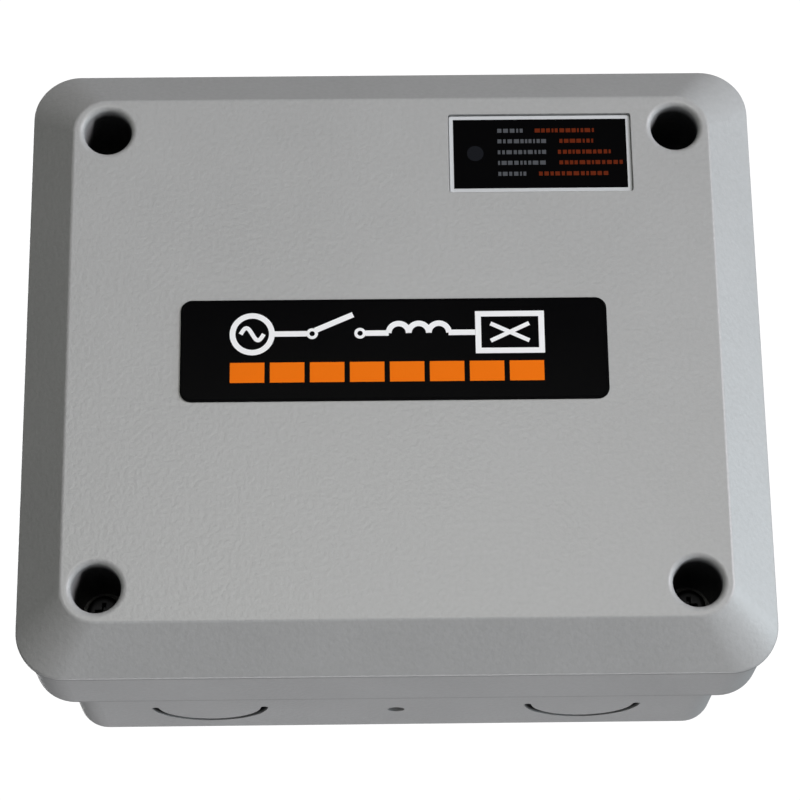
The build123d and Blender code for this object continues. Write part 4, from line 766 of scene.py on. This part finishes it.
def screw_thread(node, body):
    """A rolled thread that narrows at the screw's tip."""
    box = span(node)
    start, end = box.front - HEAD_RISE - COLLAR, box.back
    rows, segments = int((start - end) / THREAD_PITCH * 10), 24
    form = bmesh.new()
    rings = []
    for row in range(rows + 1):
        distance = start - (start - end) * row / rows
        taper = min(1.0, (distance - end) / 2.0 + 0.35)
        radii = []
        for k in range(segments):
            phase = ((start - distance) / THREAD_PITCH + k / segments) % 1.0
            crest = max(0.0, 1 - abs(phase - 0.5) / 0.32)
            radii.append((ROOT_RADIUS + (SHANK_RADIUS - 0.02 - ROOT_RADIUS) * crest) * (0.72 + 0.28 * taper))
        rings.append(ring(form, box.x, box.z, distance, radii))
    skin(form, rings)
    piece(f"{node}_thread", form, body, "screw", "zinc_steel", smooth=True)


def cover_screws():
    """The four screws, each on its own body, which is named like its node without the first word."""
    for node in SCREW_NODES:
        body = node.replace("cover_", "")
        screw_head(node, body)
        screw_thread(node, body)


def spring(name, node, body, middle, side, wire, radius, turns):
    """One wound spring of a pair, which rides on one body."""
    box = span(node)
    x = middle + side * ((box.right - box.left) / 2 - radius - wire)
    form = bmesh.new()
    tube(form, coil_points(x, box.z, box.back + wire, box.front - wire, radius, turns), wire)
    obj = piece(name, form, body, "spring", "spring_steel", smooth=True)
    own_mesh(obj)
    if side < 0:
        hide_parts(node)


def springs():
    """The return springs behind the carrier and the contact springs behind the bridges."""
    carrier, bridges = span("contact_carrier").x, span("contact_bridges").x
    for side, label in ((-1, "left"), (1, "right")):
        name = f"return_spring_{label}"
        spring(name, "return_springs", "base", carrier, side, 0.4, 2.6, 7)
        name = f"contact_spring_{label}"
        spring(name, "contact_springs", "armature", bridges, side, 0.35, 2.8, 6)


# ------------------------------------------------------------------ the control board's small detail
# surface-mount parts: x, z, and 1 for a capacitor or 0 for a resistor
PASSIVES = (
    (38.4, 44.6, 1), (38.4, 42.4, 0), (38.4, 40.2, 0), (38.4, 38.0, 1), (38.4, 35.8, 0), (38.4, 33.6, 0),
    (42.4, 43.5, 0), (42.4, 41.3, 1), (42.4, 39.1, 1), (42.4, 36.9, 0), (13.0, 42.5, 1), (16.4, 42.5, 0),
    (19.8, 31.0, 0), (23.2, 30.0, 1), (26.6, 30.0, 0), (30.0, 30.0, 0), (66.0, 24.0, 1), (66.0, 27.0, 0),
    (66.0, 30.0, 0), (66.0, 33.0, 1), (66.0, 36.0, 0), (66.0, -12.0, 1), (66.0, -15.0, 0), (66.0, -18.0, 0),
    (10.0, -24.0, 0), (13.6, -24.0, 1), (17.2, -24.0, 0), (36.0, -6.0, 1), (40.0, -6.0, 0), (44.0, -6.0, 0),
)
PASSIVE_LENGTH, PASSIVE_WIDTH = 2.0, 1.25
PACKAGES = ((13.5, -30.0), (21.0, -31.0), (64.5, 43.0))
LEG_PITCH = 1.27
# where the CAD's board screws, resistors, capacitors and terminals stand
BOARD_POSTS = ((8.5, -35.5), (65.5, -35.5), (8.5, 57.5), (57.5, 57.5))
RESISTORS = tuple((x, z) for x in (38.0, 48.0, 58.0) for z in (-12.0, -16.5, -21.0))
# each capacitor: x, z, radius, height and the radius of its printed ring
CAPACITORS = ((50.0, 12.0, 6.2, 18.0, 6.9), (62.5, 13.0, 4.0, 11.5, 4.6), (62.0, 1.5, 5.0, 12.5, 5.6))
LAMP_RING = (22.2, 55.9, 3.6)
TERMINAL_START, TERMINAL_PITCH, TERMINALS = 28.5, 5.08, 6
SENSE_TERMINAL_Z = 33.0


def small_parts():
    """Surface-mount resistors and capacitors, and three eight-legged packages."""
    face = span("circuit_board").front
    bodies, ceramics, ends = bmesh.new(), bmesh.new(), bmesh.new()
    half, wide = PASSIVE_LENGTH / 2, PASSIVE_WIDTH / 2
    for x, z, kind in PASSIVES:
        form, rise = (ceramics, 0.95) if kind else (bodies, 0.55)
        bar(form, x - half + 0.3, x + half - 0.3, z - wide, z + wide, face, face + rise)
        for side in (-1, 1):
            block(ends, x + side * (half - 0.15), z, 0.2, wide + 0.02, face, face + rise + 0.03)
    for x, z in PACKAGES:
        block(bodies, x, z, 2.0, 2.5, face + 0.15, face + 1.7)
        for side in (-1, 1):
            flank = x + side * 2.0
            for step in range(4):
                leg = z + (step - 1.5) * LEG_PITCH
                block(ends, flank, leg, 0.05, 0.2, face + 0.3, face + 1.0)
                near, far = sorted((flank, x + side * 3.0))
                bar(ends, near, far, leg - 0.2, leg + 0.2, face, face + 0.3)
    piece("small_resistors", bodies, "base", "epoxy", "chip_epoxy")
    piece("small_capacitors", ceramics, "base", "ceramic")
    piece("solder_ends", ends, "base", "tin", "tin_brass")


def crystal_can():
    """A round-ended metal can on a wider flange."""
    face = span("circuit_board").front
    left, right, middle, radius = 9.0, 18.0, 49.0, 2.2
    centre_x = (left + right) / 2
    outline = circle(left + radius, middle, radius, 13, 90, 270)
    outline += circle(right - radius, middle, radius, 13, -90, 90)
    form = bmesh.new()
    for inset, back, front in ((0.0, face, face + 0.6), (0.5, face + 0.6, face + 3.4)):
        narrow, low = 1 - inset / 4.5, 1 - inset / radius
        points = [(centre_x + (x - centre_x) * narrow, middle + (z - middle) * low) for x, z in outline]
        skin(form, [[form.verts.new((x, -distance, z)) for x, z in points] for distance in (back, front)])
    piece("crystal_can", form, "base", "tin", "tin_brass")


def board_tracks():
    """Raised tracks under the solder mask: the chip's, the terminals' and the wide supply lines."""
    board, chip, relay = span("circuit_board"), span("controller_chip"), span("board_relay")
    back, front = board.front - 0.02, board.front + 0.05
    form = bmesh.new()
    for i in range(8):
        offset = i - 3.5
        x, z = chip.x + offset, chip.z + offset
        right_end, left_end = chip.z + 2.2 * offset - 1, chip.z + 1.3 * offset - 3.0
        top_end, bottom_end = chip.x + 3.0 * offset, chip.x + 4 * offset
        right = [(chip.right + 1.4, z), (chip.right + 3.5, z), (37.0, right_end), (relay.left + 1, right_end)]
        left = [(chip.left - 1.4, z), (chip.left - 3.0, z), (16.6, left_end), (15.6, left_end)]
        up = [(x, chip.top + 1.4), (x, 49.2 + 0.3 * i), (top_end, 51.5 + 0.3 * i), (top_end, 60.0)]
        down = [(x, chip.bottom - 1.4), (x, 29.0), (bottom_end, 26.5), (bottom_end, 24.0)]
        for path in (right, left, up, down):
            ribbon(form, path, 0.4, back, front)
    for i in range(TERMINALS):
        x, end = TERMINAL_START + TERMINAL_PITCH * i, 34.5 + 4.7 * i
        ribbon(form, [(x, -28.5), (x, -24.6), (end, -23.2), (end, -9.2)], 0.9, back, front)
    for i, width in enumerate((2.4, 2.4, 1.6)):
        x = 63.2 + 2.7 * i
        ribbon(form, [(x, -30.0), (x, -6.0 + 2 * i), (x - 1.5, -4.0 + 2 * i)], width * 0.8, back, front)
    ribbon(form, [(7.0, -28.0), (7.0, 26.0)], 2.6, back, front)
    ribbon(form, [(68.0, 18.0), (68.0, 46.0), (60.0, 47.5), (50.0, 47.5)], 1.2, back, front)
    ribbon(form, [(30.0, -16.0), (33.0, -16.0), (33.0, -3.0), (45.0, -3.0), (45.0, 4.0)], 2.0, back, front)
    piece("board_tracks", form, "base", "track")


def board_pads():
    """Plated rings round the screws, resistor pads, vias, and solder joints on the back."""
    board = span("circuit_board")
    back = board.front - 0.02
    form = bmesh.new()
    for x, z in BOARD_POSTS:
        washer(form, x, z, 3.1, 1.75, back, board.front + 0.04)
    for x, z in RESISTORS:
        for side in (-1, 1):
            disc(form, x + side * 3.7, z, 0.9, back, board.front + 0.12, 18)
    rng = random.Random(11)
    for _ in range(150):
        x, z = rng.uniform(board.left + 2, board.right - 2), rng.uniform(board.bottom + 2, board.top - 3)
        if x > 61 and z > 48:
            # the board's upper right corner is cut away here
            continue
        washer(form, x, z, 0.45, 0.2, back, board.front + 0.06, 12)
    piece("board_pads", form, "base", "tin", "tin_brass")
    form = bmesh.new()
    low, high = board.back - 0.5, board.back + 0.02
    for _ in range(220):
        x, z = rng.uniform(board.left + 3, board.right - 9), rng.uniform(board.bottom + 4, board.top - 14)
        lathe(form, x, z, [(0, low), (0.25, low), (0.8, high), (0, high)], 10)
    piece("board_solder_joints", form, "base", "tin", "tin_brass")


def board_print():
    """White outlines and polarity marks printed on the board."""
    board = span("circuit_board")
    back, front = board.front + 0.01, board.front + 0.07
    form = bmesh.new()
    for node in ("board_relay", "transformer_bobbin", "test_button_body", "priority_switch_body"):
        fence(form, span(node), 1.0 if node == "transformer_bobbin" else 0.7, 0.22, back, front)
    chip = span("chip_leads")
    fence(form, chip, 0.6, 0.2, back, front)
    disc(form, chip.left - 1.6, chip.top + 0.6, 0.45, back, front, 16)
    for x, z, radius in (*((x, z, printed) for x, z, _, _, printed in CAPACITORS), LAMP_RING):
        ribbon(form, circle(x, z, radius, 48), 0.22, back, front, closed=True)
        dash = [(x + radius + 0.4, z + radius - 0.6), (x + radius + 1.6, z + radius - 0.6)]
        ribbon(form, dash, 0.22, back, front)
    fence(form, span("fuse_clips"), 1, 0.22, back, front)
    for x, z in RESISTORS:
        ribbon(form, rectangle(x - 3.2, x + 3.2, z - 1.5, z + 1.5), 0.18, back, front, closed=True)
    for step in range(TERMINALS):
        x = TERMINAL_START + TERMINAL_PITCH * step
        bar(form, x - 1.2, x + 1.2, -26.9, -26.2, back, front)
        bar(form, x - 0.9, x + 0.9, -25.5, -25.0, back, front)
    dashed = ((11.0, 40.0, 5.0), (11.0, 53.5, 6.0), (41.0, 58.8, 8.0), (60.5, 22.0, 5.0), (9.0, -20.8, 9.0))
    for x, z, length in dashed:
        bar(form, x, x + length, z, z + 0.8, back, front)
    piece("board_silkscreen", form, "base", "white_ink")


def dial_ticks():
    """Sixteen plain marks round the dial, every fourth one longer."""
    dial, body = span("priority_dial"), span("priority_switch_body")
    form = bmesh.new()
    for step in range(16):
        turn = math.radians(22.5 * step)
        near, far = 3.55, (4.5 if step % 4 == 0 else 4.05)
        ends = [(dial.x + reach * math.sin(turn), dial.z + reach * math.cos(turn)) for reach in (near, far)]
        ribbon(form, ends, 0.22, body.front - 0.02, body.front + 0.03)
    piece("dial_ticks", form, "base", "white_ink")


def capacitor_detail():
    """A bare metal top, and a pale stripe of dashes down one side of each sleeve."""
    board = span("circuit_board")
    stripes, tops = bmesh.new(), bmesh.new()
    for x, z, radius, height, _ in CAPACITORS:
        top = board.front + height
        washer(tops, x, z, radius - 0.55, radius * 0.72, top - 0.03, top + 0.04, 48)
        points = circle(x, z, radius + 0.02, 9, 215, 255)
        for first, second in zip(points, points[1:]):
            strip(stripes, (first, second), board.front + 0.9, top - 0.9)
        for step in range(int(height / 3)):
            distance = board.front + 2 + 3 * step
            strip(stripes, circle(x, z, radius + 0.05, 3, 231, 239), distance, distance + 1.2)
    piece("capacitor_stripes", stripes, "base", "legend_ink")
    piece("capacitor_tops", tops, "base", "lug")


def marks_of(form, left, top, lengths, pitch, height, back, front):
    """Plain bars of given lengths, one under another, where a label would have its lines."""
    for step, length in enumerate(lengths):
        z = top - pitch * step
        bar(form, left, left + length, z, z + height, back, front)


def strip(form, points, back, front):
    """One face that stands on a line of (x, z) points."""
    low = [form.verts.new((x, -back, z)) for x, z in points]
    high = [form.verts.new((x, -front, z)) for x, z in reversed(points)]
    form.faces.new(low + high)


def component_marks():
    """Rows of plain bars on the relay and the chip, and the relay's contact symbol."""
    relay, chip = span("board_relay"), span("controller_chip")
    form = bmesh.new()
    left, back, front = relay.left + 2, relay.front - 0.02, relay.front + 0.02
    marks_of(form, left, relay.top - 4.0, (9.0, 11.5, 6.5, 10.0), 2.6, 1.0, back, front)
    coil = rectangle(left, relay.left + 6.5, relay.bottom + 2, relay.bottom + 5)
    contact = [(relay.left + 8.5, relay.bottom + 2.4), (relay.left + 13, relay.bottom + 4.6)]
    ribbon(form, coil, 0.3, back, front, closed=True)
    ribbon(form, contact, 0.3, back, front)
    back, front = chip.front - 0.02, chip.front + 0.01
    marks_of(form, chip.left + 2, chip.top - 3.0, (5.0, 6.0, 4.0), 1.6, 0.55, back, front)
    disc(form, chip.left + 1.3, chip.bottom + 1.3, 0.5, back, front, 18)
    piece("component_marks", form, "base", "legend_ink")


def fuse_wire():
    """The thin wire inside the fuse's glass."""
    fuse = span("fuse_glass")
    axis = (fuse.back + fuse.front) / 2
    points = []
    for i in range(41):
        x = fuse.left + 0.6 + (fuse.right - fuse.left - 1.2) * i / 40
        points.append((x, axis + 0.35 * math.sin(i * 0.9), fuse.z + 0.35 * math.cos(i * 0.9)))
    form = bmesh.new()
    tube(form, points, 0.12, 8)
    piece("fuse_wire", form, "base", "tin", "tin_brass", smooth=True)


def terminal_detail():
    """Metal clamps in the terminals' openings, and ribs between them."""
    face = span("circuit_board").front
    form = bmesh.new()
    for step in range(TERMINALS):
        x = TERMINAL_START + TERMINAL_PITCH * step
        bar(form, x - 1.6, x + 1.6, -34.2, -33.2, face + 2.3, face + 5.9)
    for step in (-1, 1):
        z = SENSE_TERMINAL_Z + step * TERMINAL_PITCH / 2
        bar(form, 9.4, 10.4, z - 1.6, z + 1.6, face + 2.3, face + 5.9)
    piece("terminal_clamps", form, "base", "tin", "tin_brass")
    form = bmesh.new()
    for step in range(TERMINALS + 1):
        x = TERMINAL_START + TERMINAL_PITCH * (step - 0.5)
        bar(form, x - 0.25, x + 0.25, -38.05, -28.1, face + 0.4, face + 11.0)
    piece("terminal_ribs", form, "base", "terminal", "terminal_plastic")


def transformer_detail():
    """Soldered pins along the former's ends, and a steel strap over the core."""
    face, former, core = span("circuit_board").front, span("transformer_bobbin"), span("transformer_core")
    form = bmesh.new()
    cone = [(0, face), (1.0, face), (0.4, face + 0.7), (0, face + 0.7)]
    for side in (-1, 1):
        for step in range(4):
            x, z = former.x + (step - 1.5) * 4.6, former.z + side * 12.5
            foot = z + side * 0.6
            tube(form, [(x, face, foot), (x, face + 4.0, foot), (x, face + 6.0, z)], 0.35, 8)
            lathe(form, x, foot, cone, 14)
    piece("transformer_pins", form, "base", "tin", "tin_brass", smooth=True)
    form = bmesh.new()
    low, high, front = core.bottom + 2, core.top - 2, core.front + 0.35
    bar(form, core.left - 0.35, core.left + 0.02, low, high, core.back, front)
    bar(form, core.right - 0.02, core.right + 0.35, low, high, core.back, front)
    bar(form, core.left - 0.35, core.right + 0.35, low, high, core.front - 0.02, front)
    piece("transformer_strap", form, "base", "zinc", "zinc_steel")


def resistor_bands():
    """Four colour rings on each resistor, three close together and the last one apart."""
    axis, radius = span("circuit_board").front + 1.4, 1.17
    for index, colour in enumerate(("band_brown", "band_black", "band_red", "band_gold")):
        form = bmesh.new()
        for x, z in RESISTORS:
            left = x - 2.1 + (1.05 * index if index < 3 else 3.6)
            rings = []
            for px in (left, left + 0.5):
                spots = [(radius * math.cos(turn), radius * math.sin(turn)) for turn in even_turns(20)]
                rings.append([form.verts.new((px, -(axis + ahead), z + up)) for ahead, up in spots])
            skin(form, rings, capped=False)
        piece(f"resistor_{colour}", form, "base", colour, smooth=True)


# ------------------------------------------------------------------ contactor, base and cover detail
def contactor_labels():
    """Two pale plates on the arc cover, each with plain bars and a switch symbol."""
    arc = span("arc_cover")
    plate, marks = bmesh.new(), bmesh.new()
    face = arc.front + 0.12
    back, front = face - 0.01, face + 0.02
    for low in (arc.bottom + 4, arc.top - 22):
        bar(plate, arc.left + 8.5, arc.right - 8.5, low, low + 14, arc.front - 0.02, face)
        marks_of(marks, arc.left + 10.5, low + 11.3, (22.0, 30.0, 16.0, 26.0), 2.4, 0.9, back, front)
        symbol = rectangle(arc.right - 14.5, arc.right - 10.5, low + 4, low + 12)
        ribbon(marks, symbol, 0.35, back, front, closed=True)
        ribbon(marks, [(arc.right - 14, low + 5), (arc.right - 11, low + 11)], 0.35, back, front)
    piece("contactor_plate_label", plate, "base", "label")
    piece("contactor_label_marks", marks, "base", "mask_ink")


def contactor_mouldings():
    """Moulded arrows at the terminals, grip ribs on the sides, and ridges on the armature's tab."""
    arc, tab = span("arc_cover"), span("contact_carrier")
    form = bmesh.new()
    for x in (tab.x - 15, tab.x + 15):
        for side in (-1, 1):
            z = side * 30.6
            points = [(x - 1.6, z - side * 1.2), (x, z + side * 1.2), (x + 1.6, z - side * 1.2)]
            ribbon(form, points, 0.6, arc.front - 0.1, arc.front + 0.35)
    for side in (-1, 1):
        x = arc.x + side * (arc.right - arc.x - 0.1)
        for z in range(-16, 17, 4):
            block(form, x, z, 0.35, 0.5, 44.0, 70.0)
    piece("contactor_mouldings", form, "base", "black", "contactor_plastic")
    form = bmesh.new()
    for step in range(5):
        block(form, tab.x, step - 2.0, 3.2, 0.25, tab.front - 0.05, tab.front + 0.35)
    piece("carrier_tab_grip", form, "armature", "carrier", "carrier_plastic")


FLOOR, RECESS, INSIDE = 3.0, 0.8, 93.0
FLOOR_EJECTORS = ((-64, 0), (-15, 50), (-15, -50), (28, 0), (52, 20), (52, -20), (0, 0), (76, 0), (28, 44))
BACK_EJECTORS = ((-60, 40), (60, 40), (-60, -40), (60, -40), (0, 52), (0, -52), (-30, 0), (30, 0))
COVER_EJECTORS = ((-52, 40), (0, 40), (52, 36), (-52, -40), (0, -40), (52, -40), (-52, 0), (0, 0), (52, 0))
BACK_RIBS = (((-58, -34), (-6, -4)), ((6, 4), (58, 34)), ((-58, 34), (-6, 4)), ((6, -4), (58, -34)))


def base_floor_marks():
    """Ejector marks, the earth symbol and three stiffening ribs on the base's floor."""
    back, low = FLOOR - 0.02, FLOOR + 0.5
    form = bmesh.new()
    for x, z in FLOOR_EJECTORS:
        washer(form, x, z, 3.0, 2.7, back, FLOOR + 0.12)
    x, z = 74.0, -58.0
    ribbon(form, [(x, z + 5), (x, z)], 0.7, back, low)
    for step, half in enumerate((3.0, 2.0, 1.0)):
        ribbon(form, [(x - half, z - 1.3 * step), (x + half, z - 1.3 * step)], 0.7, back, low)
    for x in (-30, 0, 30):
        block(form, x, 0, 0.8, 72.9, back, FLOOR + 1.2)
    piece("base_floor_marks", form, "base", "enclosure", "enclosure_plastic")


def back_ribs():
    """Ejector marks, the mould's gate and four sloping ribs in the recess of the back."""
    front = RECESS + 0.02
    form = bmesh.new()
    for x, z in BACK_EJECTORS:
        washer(form, x, z, 3.6, 3.2, RECESS - 0.15, front)
    disc(form, 0, 0, 1.6, RECESS - 0.35, front)
    washer(form, 0, 0, 6.0, 5.6, RECESS - 0.15, front)
    for ends in BACK_RIBS:
        ribbon(form, ends, 1.6, RECESS - 0.5, front)
    piece("back_ribs", form, "base", "enclosure", "enclosure_plastic")


def cover_inside_marks():
    """Ejector marks inside the cover, and three short fins round each screw well."""
    form = bmesh.new()
    for x, z in COVER_EJECTORS:
        washer(form, x, z, 3.4, 3.0, INSIDE - 0.15, INSIDE + 0.02)
    for side in (-1, 1):
        for row in (-1, 1):
            x, z = side * 75.5, row * 63.0
            for step in range(3):
                turn = math.radians(180 * (side > 0) + 45 * side * row * (step - 1))
                ends = [(x + reach * math.cos(turn), z + reach * math.sin(turn)) for reach in (8.2, 11.5)]
                ribbon(form, ends, 1.2, 84.0, INSIDE + 0.02)
    piece("cover_inside_marks", form, "cover", "enclosure", "enclosure_plastic")


# ------------------------------------------------------------------ stage, light and camera
AMBIENT, SEEN_WHITE = 0.04, 1.05


def studio_floor():
    """A pale floor well below the wall-mounted box, which fades to white with distance."""
    mesh = bpy.data.meshes.new("studio_floor")
    form = bmesh.new()
    bmesh.ops.create_circle(form, cap_ends=True, radius=8.0, segments=96)
    bmesh.ops.translate(form, verts=form.verts, vec=(0, 0, -0.6))
    form.to_mesh(mesh)
    form.free()
    floor = bpy.data.objects.new("studio_floor", mesh)
    bpy.context.scene.collection.objects.link(floor)
    paint = Graph("studio_floor")
    lit = paint.blend(paint.noise(3.0), (0.34, 0.34, 0.34), (0.38, 0.38, 0.38))
    paint.shine(Base_Color=lit, Roughness=0.7)
    # the camera sees a paler floor than the one that lights the box
    glow = paint.add("ShaderNodeEmission")
    x, y, _ = paint.axes()
    far = paint.ramp(paint.hypotenuse(x, y), 0.8, 6.0)
    pale = paint.blend(paint.noise(3.0), (0.80, 0.80, 0.80), (0.84, 0.84, 0.84))
    paint.feed(glow.inputs["Color"], paint.blend(far, pale, (1.0, 1.0, 1.0)))
    mix = paint.add("ShaderNodeMixShader")
    seen = paint.add("ShaderNodeLightPath").outputs["Is Camera Ray"]
    paint.feed(mix.inputs[0], paint.maths("MULTIPLY", seen, paint.ramp(far, 0.0, 1.0, 0.85, 1.0)))
    paint.join(paint.shader.outputs[0], mix.inputs[1])
    paint.join(glow.outputs[0], mix.inputs[2])
    paint.join(mix.outputs[0], paint.tree.nodes["Material Output"].inputs["Surface"])
    dress(paint, floor)


def studio_world():
    """A white surround for the camera, and much weaker light from all round."""
    world = bpy.data.worlds.new("studio_world")
    bpy.context.scene.world = world
    world.use_nodes = True
    tree = world.node_tree
    background = tree.nodes["Background"]
    seen = tree.nodes.new("ShaderNodeBackground")
    seen.inputs["Color"].default_value = (1, 1, 1, 1)
    seen.inputs["Strength"].default_value = SEEN_WHITE
    background.inputs["Color"].default_value = (0.93, 0.97, 1.0, 1)
    background.inputs["Strength"].default_value = AMBIENT
    rays = tree.nodes.new("ShaderNodeLightPath")
    mix = tree.nodes.new("ShaderNodeMixShader")
    tree.links.new(rays.outputs["Is Camera Ray"], mix.inputs[0])
    tree.links.new(background.outputs[0], mix.inputs[1])
    tree.links.new(seen.outputs[0], mix.inputs[2])
    tree.links.new(mix.outputs[0], tree.nodes["World Output"].inputs["Surface"])


# each light: name, azimuth and elevation in degrees from the box's front, distance, side, power and colour
LIGHTS = (
    ("front_soft", 0, 7, 1.6, 0.6, 6.6, (1.0, 1.0, 0.92)),
    ("right_soft", 45, 11, 2.4, 0.8, 34.0, (0.99, 0.95, 1.0)),
    ("right_far", 80, 0, 2.2, 1.4, 25.0, (0.80, 0.94, 1.0)),
    ("under_bounce", 180, -64, 0.56, 0.4, 1.4, (1.0, 0.98, 1.0)),
    ("behind_soft", 205, 25, 2.0, 1.4, 20.0, (1.0, 1.0, 1.0)),
)


def around(azimuth, elevation):
    """A unit vector out from the box: azimuth 0 is in front of it and 90 is to its right."""
    turn, rise = math.radians(azimuth), math.radians(elevation)
    return Vector((math.sin(turn) * math.cos(rise), -math.cos(turn) * math.cos(rise), math.sin(rise)))


def lights():
    """Area lamps turned towards the middle of the box, which the camera doesn't see."""
    for name, azimuth, elevation, distance, side, power, colour in LIGHTS:
        lamp = bpy.data.lights.new(name, "AREA")
        lamp.size, lamp.energy, lamp.color = side, power, colour
        holder = bpy.data.objects.new(name, lamp)
        holder.location = around(azimuth, elevation) * distance + Vector((0, face_y / 2, 0))
        holder.rotation_mode = "QUATERNION"
        holder.rotation_quaternion = around(azimuth, elevation).to_track_quat("Z", "Y")
        holder.visible_camera = False
        bpy.context.scene.collection.objects.link(holder)


def camera():
    """A long lens from in front and 20 degrees below, turned a little, as the object is usually shown."""
    azimuth, elevation, roll = -0.69, -20.0, -0.78
    distance, lens = 691.7 * MM, 121.3
    target = Vector((1.3 * MM, face_y, -13.85 * MM))
    data = bpy.data.cameras.new("camera")
    data.lens, data.sensor_width = lens, 36.0
    data.clip_start, data.clip_end = 0.05, 50.0
    holder = bpy.data.objects.new("camera", data)
    back = around(azimuth, elevation)
    right = Vector((0, 0, 1)).cross(back).normalized()
    up = back.cross(right)
    sine, cosine = math.sin(math.radians(roll)), math.cos(math.radians(roll))
    right, up = right * cosine + up * sine, up * cosine - right * sine
    facing = Matrix((right, up, back)).transposed()
    holder.matrix_world = Matrix.Translation(target + back * distance) @ facing.to_4x4()
    bpy.context.scene.collection.objects.link(holder)
    bpy.context.scene.camera = holder


badge_print()
window_print()
cover_screws()
springs()
small_parts()
crystal_can()
board_tracks()
board_pads()
board_print()
dial_ticks()
capacitor_detail()
component_marks()
fuse_wire()
terminal_detail()
transformer_detail()
resistor_bands()
contactor_labels()
contactor_mouldings()
base_floor_marks()
back_ribs()
cover_inside_marks()
studio_floor()
studio_world()
lights()
camera()
bpy.context.scene.view_settings.view_transform = "Standard"
